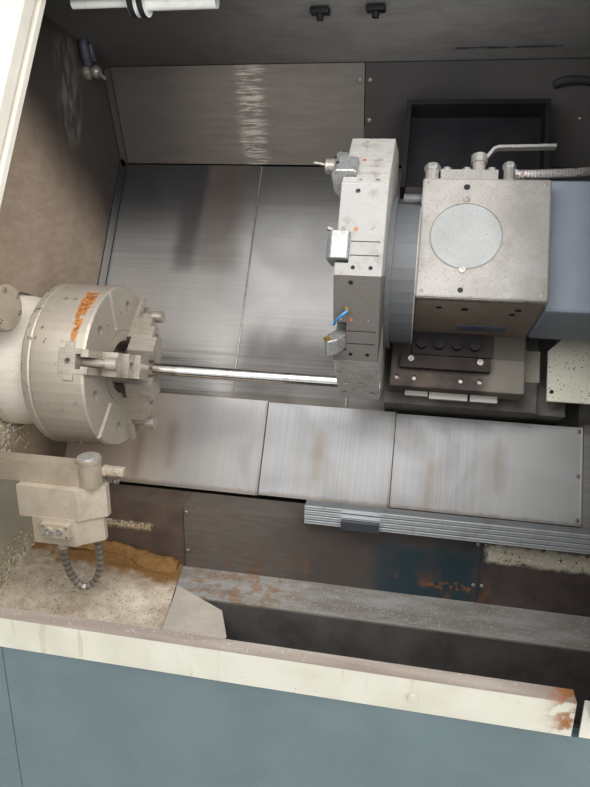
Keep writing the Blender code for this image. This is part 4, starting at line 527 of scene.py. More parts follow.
def disc_steel():
    """Turret disc: dark rear rims, and painted shade that tints the downward facets and the level facet."""
    look = Look("turret_disc_steel", 0.4, 0.42)
    x, u, n = look.parts(look.coords("bed"))
    rise = look.minus(u, TURRET_AXIS_U)
    turn = look.math("ARCTAN2", rise, n)
    lines = look.noise((60, 240, 240), "bed", detail=3)
    look.base = look.mix(look.ramp(lines, 0.3, 0.7), (0.52, 0.5, 0.465), (0.43, 0.405, 0.375))
    rims = look.times(look.ramp(x, 0.506, 0.508), look.ramp(x, 0.5555, 0.5545), 0.9)
    look.lay((0.06, 0.062, 0.066), rims)
    # Painted shade on the facets that turn downward.
    low = look.times(look.ramp(turn, radians(-60.3), radians(-59.7)),
        look.ramp(turn, radians(-24.3), radians(-23.7), 1, 0))
    look.lay((0.066, 0.056, 0.049), low, 0.88)
    # Painted shade on the level facet, to hold down its glare; the facet is also rougher and less metallic.
    level = look.times(look.ramp(turn, radians(-24.3), radians(-23.7)),
        look.ramp(turn, radians(11.7), radians(12.3), 1, 0))
    look.lay((0.205, 0.2, 0.19), level, 0.86)
    soil = look.times(look.cloud(0.5, 0.68, 40, detail=8, rough=0.7), 0.45)
    look.lay((0.12, 0.095, 0.07), soil)
    rough = look.math("MAXIMUM", look.blend(soil, 0.34, 0.6), look.times(level, 0.8))
    return look.finish(rough, look.minus(0.4, look.times(level, 0.36)),
        bumps=[(lines, 4e-05), (look.noise(260, detail=3), 8e-05)])


def braid(name, light=(0.62, 0.6, 0.57), dark=(0.22, 0.21, 0.2), fleck=None, turns=8, along=330):
    """Woven steel braid, from the tube's own UV."""
    look = Look(name, 0.85, 0.36)
    coord = look.node("ShaderNodeUVMap", uv_map="tube")
    u, v, _ = look.parts(coord.outputs[0])
    a = look.add(look.times(u, along), look.times(v, turns * 2 * pi))
    b = look.minus(look.times(u, along), look.times(v, turns * 2 * pi))
    weave = look.times(look.math("SINE", a), look.math("SINE", b))
    height = look.ramp(weave, -0.5, 0.6)
    look.base = look.mix(height, dark, light)
    if fleck:
        spots = look.times(look.cloud(0.6, 0.64, 150, detail=2), 0.8)
        look.lay(fleck, spots)
    return look.finish(0.38, bumps=[(height, 0.0006)])


def plain(name, light, dark, rough=0.5, metallic=0, scale=60, **sockets):
    """Small trim: two-tone mottling with a fine texture."""
    look = Look(name, metallic, rough, **sockets)
    tone = look.cloud(0.3, 0.7, scale, detail=5)
    look.base = look.mix(tone, light, dark)
    return look.finish(look.blend(tone, rough, rough + 0.1),
        bumps=[(look.noise(scale * 6, detail=2), 0.0001)])


def chute_look():
    """Sheet caked with chips and rust along its back edge, stained lower down."""
    look = Look("caked_chute_sheet", 0.25, 0.7)
    _, y, _ = look.parts(look.coords())
    cloud = look.noise(20, detail=9, rough=0.7)
    look.base = look.mix(look.ramp(cloud, 0.35, 0.65), (0.7, 0.62, 0.5), (0.44, 0.355, 0.26))
    back = look.ramp(look.add(y, look.wobble(30, 0.09)), -0.075, -0.03)
    orange = look.mix(look.noise(95, detail=6), (0.36, 0.19, 0.055), (0.13, 0.062, 0.022))
    look.lay(orange, back)
    specks = look.times(look.cloud(0.6, 0.68, 210, detail=3), 0.7)
    look.lay((0.06, 0.045, 0.03), specks)
    return look.finish(0.75, bumps=[(look.noise(120, detail=5), 0.0012), (specks, 0.0006)])


def ledge_look():
    """Grey ledge with grit on top, a pale front edge and rust towards the left."""
    look = Look("chipped_ledge", 0.3, 0.6)
    _, y, z = look.parts(look.coords())
    cloud = look.noise((9, 26, 26), detail=9, rough=0.68)
    look.base = look.mix(look.ramp(cloud, 0.32, 0.68), (0.4, 0.39, 0.37), (0.24, 0.215, 0.185))
    front = look.times(look.ramp(y, -0.079, -0.0808), look.ramp(z, -0.4535, -0.4515))
    look.lay((0.52, 0.48, 0.42), front, 0.8)
    face = look.times(look.ramp(z, -0.452, -0.456), 0.6)
    look.lay((0.12, 0.095, 0.07), face)
    grit = look.times(look.cloud(0.6, 0.66, 230, detail=3), look.ramp(z, -0.452, -0.4505), 0.8)
    look.lay((0.55, 0.5, 0.42), grit)
    rust = look.times(look.box({"x": (0.1, 0.36)}, 0.06, wander=look.wobble(18, 0.1)),
        look.cloud(0.46, 0.6, 46, detail=8), 0.6)
    look.lay((0.3, 0.15, 0.05), rust)
    return look.finish(0.62, bumps=[(look.noise(150, detail=5), 0.0005), (grit, 0.0006)])


def bar_steel():
    """Polished bar with fine turning rings, duller at its free end."""
    look = Look("polished_bar", 1, 0.16)
    x, _, _ = look.parts(look.coords("round"))
    rings = look.noise((420, 3, 3), detail=3)
    bands = look.cloud(0.35, 0.7, (26, 2, 2), detail=6, rough=0.7)
    look.base = look.mix(bands, (0.74, 0.73, 0.71), (0.52, 0.49, 0.46))
    end = look.ramp(x, 0.125, 0.105)
    look.lay((0.3, 0.24, 0.18), end, 0.6)
    return look.finish(look.blend(rings, 0.1, 0.3), bumps=[(rings, 4e-05)])


def glass():
    """Smeared, slightly tinted window glass."""
    look = Look("tinted_window_glass", 0, 0.05)
    look.shader.inputs["Transmission Weight"].default_value = 0.85
    look.shader.inputs["IOR"].default_value = 1.45
    smear = look.cloud(0.4, 0.75, 12, detail=6)
    look.base = look.mix(smear, (0.7, 0.76, 0.73), (0.56, 0.6, 0.57))
    return look.finish(look.blend(smear, 0.04, 0.22))


M = {
    "cream": paint("cream_enclosure_paint", (0.66, 0.63, 0.545), 0.12, 0.42, grime=0.16,
        grime_colour=(0.3, 0.25, 0.18)),
    "sill": cream_sill(),
    "teal": paint("teal_base_paint", (0.112, 0.16, 0.168), 0.18, 0.42, grime=0.25,
        grime_colour=(0.2, 0.215, 0.2)),
    "wall": sheet("headstock_wall_sheet", (0.4, 0.31, 0.235), (0.33, 0.25, 0.185), (3, 26, 70),
        metallic=0.25, rough=0.45, stain=0.25, extra=wall_marks),
    "top": sheet("top_panel_sheet", (0.15, 0.131, 0.113), (0.124, 0.108, 0.093), (8, 70, 90), metallic=0.3,
        rough=0.42, stain=0.2, extra=top_panel_marks),
    "ceiling": sheet("ceiling_sheet", (0.4, 0.39, 0.38), (0.34, 0.332, 0.324), (10, 60, 60), metallic=0.15,
        rough=0.55, stain=0.25, stain_colour=(0.06, 0.05, 0.045), extra=ceiling_marks),
    "upper": sheet("upper_cover_sheet", (0.37, 0.36, 0.345), (0.3, 0.29, 0.275), (2, 260, 260), "bed",
        metallic=0.5, rough=0.3, stain=0.08, extra=upper_marks),
    "lower": sheet("lower_cover_sheet", (0.3, 0.3, 0.3), (0.26, 0.255, 0.25), (260, 3, 3), "bed",
        metallic=0.35, rough=0.38, stain=0.12, extra=lower_marks),
    "panel": sheet("lower_panel_sheet", (0.135, 0.115, 0.098), (0.105, 0.088, 0.074), (20, 60, 120),
        metallic=0.2, rough=0.5, stain=0.4, extra=panel_regions),
    "ledge": ledge_look(),
    "trough": cast("trough_sheet", (0.14, 0.13, 0.118), (0.075, 0.068, 0.063), 0.2, 0.65, 0.5, 0.5),
    "chute": chute_look(),
    "plate": cast("light_chute_plate", (0.6, 0.545, 0.47), (0.46, 0.41, 0.335), 0.2, 0.6, 0.5, 0.3),
    "rail": steel("ribbed_rail_aluminium", (0.66, 0.7, 0.72), (0.54, 0.57, 0.59), 0.36, 0.25, (4, 160, 160),
        extra=rail_marks),
    "black": plain("black_paint_and_hole_shade", (0.007, 0.007, 0.009), (0.012, 0.012, 0.014), 0.55, 0, 16,
        specular_ior_level=0.25),
    "rubber": plain("black_rubber", (0.018, 0.018, 0.018), (0.034, 0.032, 0.03), 0.7),
    "housing": cast("speckled_housing", (0.295, 0.278, 0.256), (0.235, 0.219, 0.197), 0.12, 0.52, 0.65,
        0.18, extra=housing_marks),
    "seal_disc": cast("bright_round_cover", (0.28, 0.288, 0.28), (0.245, 0.25, 0.242), 0.25, 0.55, 0.4,
        0.05),
    "slate": paint("slate_cover_paint", (0.205, 0.236, 0.284), 0.2, 0.5, grime=0.18,
        grime_colour=(0.24, 0.25, 0.26)),
    "slide": cast("worn_slide_iron", (0.082, 0.06, 0.05), (0.044, 0.032, 0.028), 0.05, 0.66, 0.6, 0.5, 2,
        extra=slide_marks),
    "saddle": cast("saddle_iron", (0.155, 0.145, 0.125), (0.085, 0.078, 0.068), 0.25, 0.52, 0.5, 0.5, 2,
        extra=saddle_marks),
    "iron": cast("bed_iron", (0.16, 0.155, 0.145), (0.1, 0.095, 0.085), 0.4, 0.55, 0.3, 0.3),
    "beige": cast("beige_cast_paint", (0.9, 0.83, 0.73), (0.8, 0.73, 0.63), 0.05, 0.48, 0.35, 0.2),
    "setter": cast("setter_casting", (0.53, 0.455, 0.36), (0.395, 0.33, 0.25), 0.2, 0.46, 0.4, 0.4, 1.5),
    "arm": cast("setter_arm_casting", (0.39, 0.325, 0.25), (0.285, 0.235, 0.175), 0.2, 0.5, 0.4, 0.4, 1.5),
    "chuck": chuck_steel(),
    "jaw": steel("ground_jaw_steel", (0.37, 0.33, 0.275), (0.3, 0.262, 0.215), 0.34, 0.4, (24, 150, 150),
        0.45),
    "bolt": steel("bolt_steel", (0.36, 0.335, 0.3), (0.18, 0.16, 0.135), 0.35, 0.55, stain=0.4),
    "bright": steel("bright_steel", (0.66, 0.64, 0.61), (0.5, 0.48, 0.45), 0.28, 0.7, stain=0.15),
    "disc": disc_steel(),
    "holder": steel("tool_holder_steel", (0.3, 0.3, 0.295), (0.19, 0.19, 0.185), 0.38, 0.45, stain=0.25),
    "bar": bar_steel(),
    "braid": braid("steel_braid_hose", (0.62, 0.61, 0.59), (0.4, 0.39, 0.375), (0.35, 0.05, 0.04), 12, 760),
    "conduit": braid("braided_conduit", (0.56, 0.52, 0.46), (0.24, 0.215, 0.19), turns=7, along=300),
    "lamp": plain("frosted_lamp_tube", (0.8, 0.8, 0.77), (0.7, 0.7, 0.67), 0.3),
    "glass": glass(),
    "red": plain("red_button_plastic", (0.5, 0.018, 0.012), (0.4, 0.012, 0.01), 0.32),
    "gold": plain("coated_insert", (0.78, 0.5, 0.12), (0.6, 0.35, 0.07), 0.28, 0.9),
    "blue": plain("blue_coolant_tube", (0.03, 0.19, 0.42), (0.02, 0.12, 0.3), 0.3),
    "brass": plain("brass_fitting", (0.6, 0.42, 0.16), (0.42, 0.28, 0.1), 0.3, 0.9),
    "sealer": plain("orange_plug", (0.42, 0.11, 0.03), (0.28, 0.07, 0.02), 0.6),
    "screen": plain("console_screen", (0.02, 0.028, 0.034), (0.026, 0.036, 0.044), 0.12),
    "grey": plain("grey_keys", (0.3, 0.31, 0.31), (0.24, 0.25, 0.25), 0.5),
    "marine": plain("blue_grey_plate", (0.075, 0.095, 0.16), (0.14, 0.15, 0.175), 0.45, 0.1, 40),
    "hose": plain("dark_hose", (0.02, 0.024, 0.036), (0.04, 0.046, 0.062), 0.5, 0, 90),
    "flakes": plain("dried_flakes", (0.72, 0.67, 0.55), (0.46, 0.38, 0.26), 0.8, 0, 180),
    "crust": chute_look(),
}

NODE_LOOKS = {
    "cream": ("front_panel_left", "front_panel_right", "roof_and_rear", "end_panel_left", "end_panel_right",
        "door", "console", "electrical_cabinet"),
    "sill": ("door_sill",),
    "teal": ("base_panel", "coolant_tank"),
    "wall": ("wall_left", "wall_right"),
    "top": ("top_panel",),
    "ceiling": ("ceiling_panel",),
    "upper": ("upper_cover_fixed", "upper_cover_middle", "upper_cover_saddle", "cover_right"),
    "lower": ("lower_cover_fixed", "lower_cover_middle", "lower_cover_saddle"),
    "panel": ("lower_panel",),
    "ledge": ("rear_ledge",),
    "trough": ("chip_trough",),
    "chute": ("chip_chute",),
    "rail": ("ribbed_rail", "door_rail"),
    "black": ("x_cover_frame",),
    "rubber": ("drive_belt",),
    "housing": ("turret_housing",),
    "slate": ("motor_cover",),
    "slide": ("cross_slide",),
    "saddle": ("saddle",),
    "iron": ("bed_casting", "main_motor", "motor_pulley"),
    "beige": ("headstock", "nose_cover"),
    "arm": ("setter_arm",),
    "setter": ("setter_head",),
    "chuck": ("chuck_body",),
    "bright": ("spindle", "valve_lever"),
    "jaw": ("base_jaw_1", "base_jaw_2", "base_jaw_3", "top_jaw_1", "top_jaw_2", "top_jaw_3"),
    "disc": ("turret_disc",),
    "holder": ("tool_holder_1", "tool_holder_2", "tool_holder_3"),
    "bar": ("boring_bar",),
    "lamp": ("lamp_tube",),
    "glass": ("door_window",),
    "red": ("stop_button",),
}
for look_name, names in NODE_LOOKS.items():
    for node_name in names:
        for holder in NODES[node_name].material_slots:
            holder.material = M[look_name]


# Pieces

def finish_piece(name, bm, look, body, matrix=SPINDLE, angle=32):
    """Make a mesh object of a draft, dress it and let it ride on a body."""
    # A bevel leaves later faces in an order that changes from run to run
    bm.verts.index_update()
    ordered = sorted(bm.faces, key=lambda face: sorted(v.index for v in face.verts))
    for index, face in enumerate(ordered):
        face.index = index
    bm.faces.sort()
    bmesh.ops.recalc_face_normals(bm, faces=bm.faces[:])
    bm.transform(matrix)
    mesh = bpy.data.meshes.new(name)
    bm.to_mesh(mesh)
    bm.free()
    mesh.materials.append(M[look])
    mesh.shade_smooth()
    mesh.set_sharp_from_angle(angle=radians(angle))
    obj = bpy.data.objects.new(name, mesh)
    bpy.context.scene.collection.objects.link(obj)
    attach(obj, body)
    return obj


def aim(at, axis):
    """Matrix that puts local Z along an axis at a place."""
    turn = Vector(axis).normalized().to_track_quat("Z", "Y").to_matrix().to_4x4()
    return Matrix.Translation(Vector(at)) @ turn


def lathe(bm, profile, place, steps=24, hexed=()):
    """Spin (height, radius) points about local Z. Rings named in hexed become hexagons."""
    rings = []
    for index, (height, radius) in enumerate(profile):
        if radius == 0:
            rings.append([bm.verts.new(place @ Vector((0, 0, height)))])
            continue
        ring = []
        for i in range(steps):
            a = 2 * pi * i / steps
            r = radius
            if index in hexed:
                r = radius * cos(pi / 6) / cos(a % (pi / 3) - pi / 6)
            ring.append(bm.verts.new(place @ Vector((r * cos(a), r * sin(a), height))))
        rings.append(ring)
    for low, high in zip(rings, rings[1:]):
        for i in range(steps):
            j = (i + 1) % steps
            if len(low) == 1:
                bm.faces.new((low[0], high[j], high[i]))
            elif len(high) == 1:
                bm.faces.new((low[i], low[j], high[0]))
            else:
                bm.faces.new((low[i], low[j], high[j], high[i]))


def socket_screw(bm, at, axis, radius, height):
    """Cylindrical screw head with a hexagon socket."""
    lathe(bm, [(0, 0), (0, radius * 0.96), (height * 0.12, radius), (height * 0.86, radius),
        (height, radius * 0.9), (height, radius * 0.58), (height * 0.45, radius * 0.56), (height * 0.4, 0)],
        aim(at, axis), 24, (5, 6))


def button_screw(bm, at, axis, radius, height):
    """Low domed screw head with a hexagon socket."""
    lathe(bm, [(0, 0), (0, radius), (height * 0.35, radius * 0.97), (height * 0.75, radius * 0.75),
        (height, radius * 0.45), (height * 0.55, radius * 0.4), (height * 0.5, 0)], aim(at, axis), 20,
        (4, 5))


def cup(bm, at, axis, radius, depth=0.0008):
    """Drilled hole seen from outside: a thin ring with a shallow sunk floor, which callers lay black as
    painted shade.
    """
    lathe(bm, [(0, radius), (depth * 0.5, radius), (depth * 0.5, radius * 0.86), (0, radius * 0.8), (0, 0)],
        aim(at, axis), 20)


def brick(bm, low, high, bevel=0):
    """Box between two corners, its edges rounded by the bevel."""
    made = bmesh.ops.create_cube(bm, size=1)["verts"]
    for v in made:
        v.co = Vector([lo + (c + 0.5) * (hi - lo) for c, lo, hi in zip(v.co, low, high)])
    if bevel:
        edges = list(dict.fromkeys(e for v in made for e in v.link_edges))
        bmesh.ops.bevel(bm, geom=edges, offset=bevel, segments=2, affect="EDGES", profile=0.5)


def slab(bm, low, high):
    """Close the space between two outlines of the same number of corners."""
    low = [bm.verts.new(p) for p in low]
    high = [bm.verts.new(p) for p in high]
    bm.faces.new(low)
    bm.faces.new(list(reversed(high)))
    for i in range(len(low)):
        j = (i + 1) % len(low)
        bm.faces.new((low[i], low[j], high[j], high[i]))


def smooth_path(route, count):
    """Points along a smooth curve through the places of a route."""
    points = [Vector(p) for p in route]
    padded = [2 * points[0] - points[1], *points, 2 * points[-1] - points[-2]]
    spans = len(points) - 1
    made = []
    for i in range(count + 1):
        t = i / count * spans
        k = min(int(t), spans - 1)
        f = t - k
        p0, p1, p2, p3 = padded[k:k + 4]
        square = 2 * p0 - 5 * p1 + 4 * p2 - p3
        cube = 3 * p1 - p0 - 3 * p2 + p3
        made.append(0.5 * (2 * p1 + (p2 - p0) * f + square * f * f + cube * f ** 3))
    return made


def tube(name, route, radius, look, body, matrix=SPINDLE, count=60, sides=16, ribs=0):
    """A swept round tube with its own UV, for hoses and braids."""
    points = smooth_path(route, count)
    bm = bmesh.new()
    layer = bm.loops.layers.uv.new("tube")
    side = Vector((0, 0, 1))
    rings = []
    lengths = [0]
    for i, point in enumerate(points):
        if i:
            lengths.append(lengths[-1] + (point - points[i - 1]).length)
        run = (points[min(i + 1, count)] - points[max(i - 1, 0)]).normalized()
        side = side - run * side.dot(run)
        if side.length < 0.01:
            side = run.orthogonal()
        side.normalize()
        other = run.cross(side)
        r = radius * (1 + (ribs if i % 2 else 0))
        turns = [2 * pi * k / sides for k in range(sides)]
        rings.append([bm.verts.new(point + side * (r * cos(a)) + other * (r * sin(a))) for a in turns])
    for i in range(count):
        for k in range(sides):
            j = (k + 1) % sides
            face = bm.faces.new((rings[i][k], rings[i][j], rings[i + 1][j], rings[i + 1][k]))
            spots = ((i, k), (i, k + 1), (i + 1, k + 1), (i + 1, k))
            for loop, (a, b) in zip(face.loops, spots):
                loop[layer].uv = (lengths[a] / radius * 0.0065, b / sides)
    bm.faces.new(list(reversed(rings[0])))
    bm.faces.new(rings[-1])
    return finish_piece(name, bm, look, body, matrix, 60)


# Directions and planes shared by the pieces, in metres
BED_OUT = (0.0, 0.0, 1.0)
GAP = 0.0003
WALL_FACE = -0.220
HOUSING_FRONT = 0.100
HOUSING_TOP = 0.362
TURRET_LEFT = 0.430
TURRET_THICKNESS = 0.075
TURRET_RADIUS = 0.242
STATION_PITCH = 36.0
STATION_TURN = 12.0
PANEL_FACE = 0.020
RAIL_DEPTH = 0.020
RAIL_START = 0.370
RAIL_END = 1.3190
RAIL_BASE = -0.3047
RAIL_HEIGHT = 0.042
RAIL_RIBS = 4


def covers_trim():
    """Rolled lips, wiper edges and end screws on the telescopic covers."""
    lower = (("lower_fixed_lip", "machine", 0.247, -0.235),
        ("lower_middle_lip", "lower_middle", 0.533, -0.2375),
        ("lower_saddle_lip", "carriage", 0.919, -0.24))
    for name, body, x, face in lower:
        bm = bmesh.new()
        brick(bm, (x - 0.0045, -0.2115, face + GAP * 0.2), (x - 0.0005, -0.004, face + 0.0016), 0.0006)
        finish_piece(name, bm, "lower", body, BED)
        bm = bmesh.new()
        brick(bm, (x - 0.0012, -0.2125, face - 0.0023), (x + 0.0016, -0.001, face - 0.0002))
        finish_piece(name.replace("lip", "wiper"), bm, "rubber", body, BED)
    for name, body, x, face in (("upper_fixed_lip", "machine", 0.15, -0.28),
            ("upper_middle_lip", "upper_middle", 0.42, -0.2825)):
        bm = bmesh.new()
        brick(bm, (x - 0.004, 0.008, face + 0.0001), (x - 0.0004, 0.612, face + 0.0013), 0.0005)
        finish_piece(name, bm, "bolt", body, BED)
    bm = bmesh.new()
    for u in (-0.014, -0.107, -0.196):
        button_screw(bm, (0.9105, u, -0.24), BED_OUT, 0.0042, 0.0024)
    finish_piece("lower_cover_screws", bm, "bolt", "carriage", BED)
    bm = bmesh.new()
    brick(bm, (-0.155, -0.222, -0.2347), (-0.075, -0.206, -0.233), 0.0006)
    button_screw(bm, (-0.088, -0.214, -0.233), BED_OUT, 0.0042, 0.0024)
    finish_piece("lower_cover_tab", bm, "bolt", "machine", BED)


def wall_details():
    """Ball nozzle and hose on the headstock wall, corner strip and panel screws."""
    wall = WALL_FACE
    bm = bmesh.new()
    at = (wall, 0.367, 0.587)
    lathe(bm, [(0, 0), (0, 0.017), (0.006, 0.017), (0.008, 0.012), (0.014, 0.012)], aim(at, (1, 0, 0)))
    bmesh.ops.create_uvsphere(bm, u_segments=24, v_segments=14, radius=0.0135,
        matrix=Matrix.Translation((wall + 0.022, 0.367, 0.587)))
    lathe(bm, [(0, 0.006), (0.016, 0.0045), (0.024, 0.003), (0.024, 0.0015), (0.018, 0)],
        aim((wall + 0.03, 0.362, 0.583), (0.8, -0.3, -0.5)), 16)
    finish_piece("coolant_ball_nozzle", bm, "bolt", "machine")
    tube("nozzle_hose", [(wall + 0.012, 0.35, 0.6), (wall + 0.013, 0.338, 0.622),
        (wall + 0.013, 0.335, 0.64), (wall + 0.013, 0.352, 0.668), (wall + 0.013, 0.385, 0.695)], 0.0105,
        "hose", "machine", count=40, ribs=0.1)
    tube("nozzle_hose_second", [(wall + 0.014, 0.372, 0.612), (wall + 0.015, 0.362, 0.632),
        (wall + 0.015, 0.364, 0.655), (wall + 0.015, 0.385, 0.682), (wall + 0.015, 0.41, 0.697)], 0.0085,
        "hose", "machine", count=40, ribs=0.1)
    foot = Vector((0, 0.5525, 0.3969))
    head = Vector((0, 0.484, 0.6155))
    along = (head - foot).normalized()
    out = Vector((0, -along.z, along.y))
    for name, look, near, far, x1 in (("top_corner_strip", "top", 0.006, 0.038, wall + 0.002),
            ("top_corner_gap", "black", 0.0004, 0.006, wall + 0.0014),
            ("top_corner_edge", "black", 0.038, 0.041, wall + 0.0012)):
        bm = bmesh.new()
        strip = [foot + out * near, head + out * near, head + out * far, foot + out * far]
        slab(bm, *([(x, p.y, p.z) for p in strip] for x in (wall + 0.0004, x1)))
        finish_piece(name, bm, look, "machine")
    for name, look, near, far, x1 in (("upper_corner_strip", "upper", -0.2735, -0.242, wall + 0.002),
            ("upper_corner_gap", "black", -0.2797, -0.2735, wall + 0.0014),
            ("upper_corner_edge", "black", -0.242, -0.239, wall + 0.0012)):
        bm = bmesh.new()
        brick(bm, (wall + 0.0004, 0.03, near), (x1, 0.612, far))
        finish_piece(name, bm, look, "machine", BED)
    bm = bmesh.new()
    for x, y, z in ((0.417, 0.495, 0.581), (0.417, 0.521, 0.498), (0.417, 0.544, 0.425),
            (0.89, 0.52, 0.499), (0.89, 0.497, 0.573), (0.393, 0.495, 0.581), (0.393, 0.544, 0.425)):
        button_screw(bm, Vector((x, y, z)) + out * 0.0001, out, 0.0052, 0.0028)
    finish_piece("top_panel_screws", bm, "bolt", "machine")
    bm = bmesh.new()
    for x in (0.112, 0.713, 0.729):
        for z in (-0.318, -0.41):
            button_screw(bm, (x, 0.0199, z), (0, -1, 0), 0.0045, 0.0026)
    finish_piece("lower_panel_screws", bm, "bolt", "machine")
    bm = bmesh.new()
    for x in (0.1045, 0.7195):
        brick(bm, (x, 0.0188, -0.4485), (x + 0.0016, 0.0198, -0.3062))
    finish_piece("lower_panel_seams", bm, "rubber", "machine")


def lamp_details():
    """Clamps and rings by the lamp tube, and the hose on the right length of the top panel."""
    bm = bmesh.new()
    for x, y in ((0.342, 0.215), (0.447, 0.211)):
        z = 0.666 - 0.183 * (y - 0.215)
        brick(bm, (x - 0.018, y - 0.014, z - 0.012), (x + 0.018, y + 0.014, z - 0.0012), 0.002)
        lathe(bm, [(0, 0), (0, 0.007), (0.01, 0.007), (0.01, 0)], aim((x, y, z - 0.012), (0, 0, -1)), 16)
    finish_piece("ceiling_clamps", bm, "black", "machine")
    bm = bmesh.new()
    lamp = (0.1, 0.6593)
    for x in (0.0165, 0.0345):
        lathe(bm, [(0, 0.025), (0, 0.0272), (0.011, 0.0272), (0.011, 0.025)], aim((x, *lamp), (1, 0, 0)),
            32)
    finish_piece("lamp_rings", bm, "black", "machine")
    tube("right_panel_hose", [(0.822, 0.492, 0.566), (0.83, 0.484, 0.57), (0.85, 0.48, 0.574),
        (0.88, 0.482, 0.573), (0.92, 0.488, 0.567), (0.98, 0.49, 0.56), (1.06, 0.49, 0.56)], 0.008,
        "rubber", "machine", count=50, ribs=0.1)


def turret_details():
    """Plugs, inserts, clamp screws and the coolant tube on the turret."""
    apothem = TURRET_RADIUS * cos(pi / 10)
    facet = 2 * TURRET_RADIUS * sin(pi / 10)

    def on_facet(station, share, x, lift=0):
        """A place on one facet and the way out of it, in the bed frame."""
        a = radians(-90 + STATION_PITCH * station + STATION_TURN)
        out = Vector((0, sin(a), cos(a)))
        up = Vector((0, cos(a), -sin(a)))
        at = Vector((x, TURRET_AXIS_U, 0)) + out * (apothem + lift) + up * ((share - 0.5) * facet)
        return at, out, up

    columns = [TURRET_LEFT + f * TURRET_THICKNESS for f in (0.15, 0.39, 0.76)]
    plugs = bmesh.new()
    wells = bmesh.new()
    for station in range(10):
        if station in (0, 5):
            continue
        at, out, _ = on_facet(station, 0.5, columns[1], -0.0015)
        lathe(plugs, [(0, 0.0032), (0.0018, 0.0032), (0.0018, 0.0012), (0.0006, 0)], aim(at, out), 14)
        for x in (columns[0], columns[2]):
            at, out, _ = on_facet(station, 0.5, x, -0.004)
            lathe(wells, [(0, 0.003), (0.0026, 0.003), (0.0026, 0.0017), (0.0006, 0)], aim(at, out), 14,
                (2,))
    finish_piece("turret_plugs", plugs, "sealer", "turret", BED)
    for share, x in ((0.43, columns[1] - 0.01), (0.43, columns[1] + 0.014)):
        at, out, _ = on_facet(0, share, x, -0.006)
        lathe(wells, [(0, 0.005), (0.0045, 0.005), (0.0045, 0.0028), (0.001, 0)], aim(at, out), 18, (2,))
    for x in (0.441, 0.492):
        at, out, _ = on_facet(0, 0.173, x, -0.003)
        lathe(wells, [(0, 0.0045), (0.0022, 0.0045), (0.0022, 0.0024), (0.0004, 0)], aim(at, out), 18, (2,))
    finish_piece("turret_set_screws", wells, "bolt", "turret", BED)
    for station, look, share, x, lift in ((1, "gold", 0.326, 0.4235, 0.0265),
            (2, "bright", 0.466, 0.4175, 0.0035)):
        at, out, up = on_facet(station, share, x, lift)
        side = Vector((1, 0, 0))
        half = 0.007
        corners = [at - side * 0.0055, at + out * half - side * 0.001, at + side * 0.006,
            at - out * half + side * 0.002]
        bm = bmesh.new()
        slab(bm, corners, [c + up * 0.0042 for c in corners])
        finish_piece(f"tool_insert_{station}", bm, look, "turret", BED)
    _, out, up = on_facet(3, 0.5, 0)
    axes = Matrix(((1, 0, 0), up, out)).transposed().to_4x4()
    facet_3 = BED @ Matrix.Translation((0, TURRET_AXIS_U, 0)) @ axes
    bm = bmesh.new()
    brick(bm, (0.4104, -0.0058, apothem - 0.04), (0.4294, 0.024, apothem + 0.002), 0.002)
    finish_piece("boring_block", bm, "holder", "turret", facet_3)
    bm = bmesh.new()
    lathe(bm, [(0, 0), (0, 0.0125), (0.018, 0.0125), (0.0195, 0.011), (0.0195, 0)],
        aim((0.412, 0.004, apothem - 0.014), (-1, 0, 0)), 28)
    lathe(bm, [(0, 0), (0, 0.0026), (0.016, 0.0026), (0.021, 0.0008), (0.021, 0)],
        aim((0.393, 0.001, apothem - 0.01), (-1, -0.06, 0.25)), 12)
    lathe(bm, [(0, 0), (0, 0.0034), (0.02, 0.0026), (0.028, 0.001), (0.028, 0)],
        aim((0.412, 0.0235, apothem - 0.014), (0.02, 1, 0.1)), 12)
    finish_piece("boring_head", bm, "bolt", "turret", facet_3)
    bm = bmesh.new()
    # Black cups: painted shade standing for the clamp holes' depth.
    cup(bm, (0.4104, 0.004, apothem + 0.0021), (0, 0, 1), 0.0026)
    cup(bm, (0.418, -0.028, apothem + 0.0101), (0, 0, 1), 0.003)
    finish_piece("tool_clamp_holes", bm, "black", "turret", facet_3)
    at, out, up = on_facet(1, 0.62, 0.452)
    bm = bmesh.new()
    lathe(bm, [(-0.004, 0), (-0.004, 0.0048), (0.006, 0.0048), (0.0075, 0.0036), (0.0075, 0)], aim(at, out),
        18, (1, 2))
    finish_piece("coolant_tube_fitting", bm, "brass", "turret", BED)
    start = at + out * 0.0075
    tube("coolant_tube", [start, start + out * 0.005,
        start + out * 0.009 - up * 0.004 - Vector((0.006, 0, 0)),
        start + out * 0.008 - up * 0.013 - Vector((0.014, 0, 0)),
        start + out * 0.003 - up * 0.024 - Vector((0.02, 0, 0))], 0.0022, "blue", "turret", BED, 24, 12)


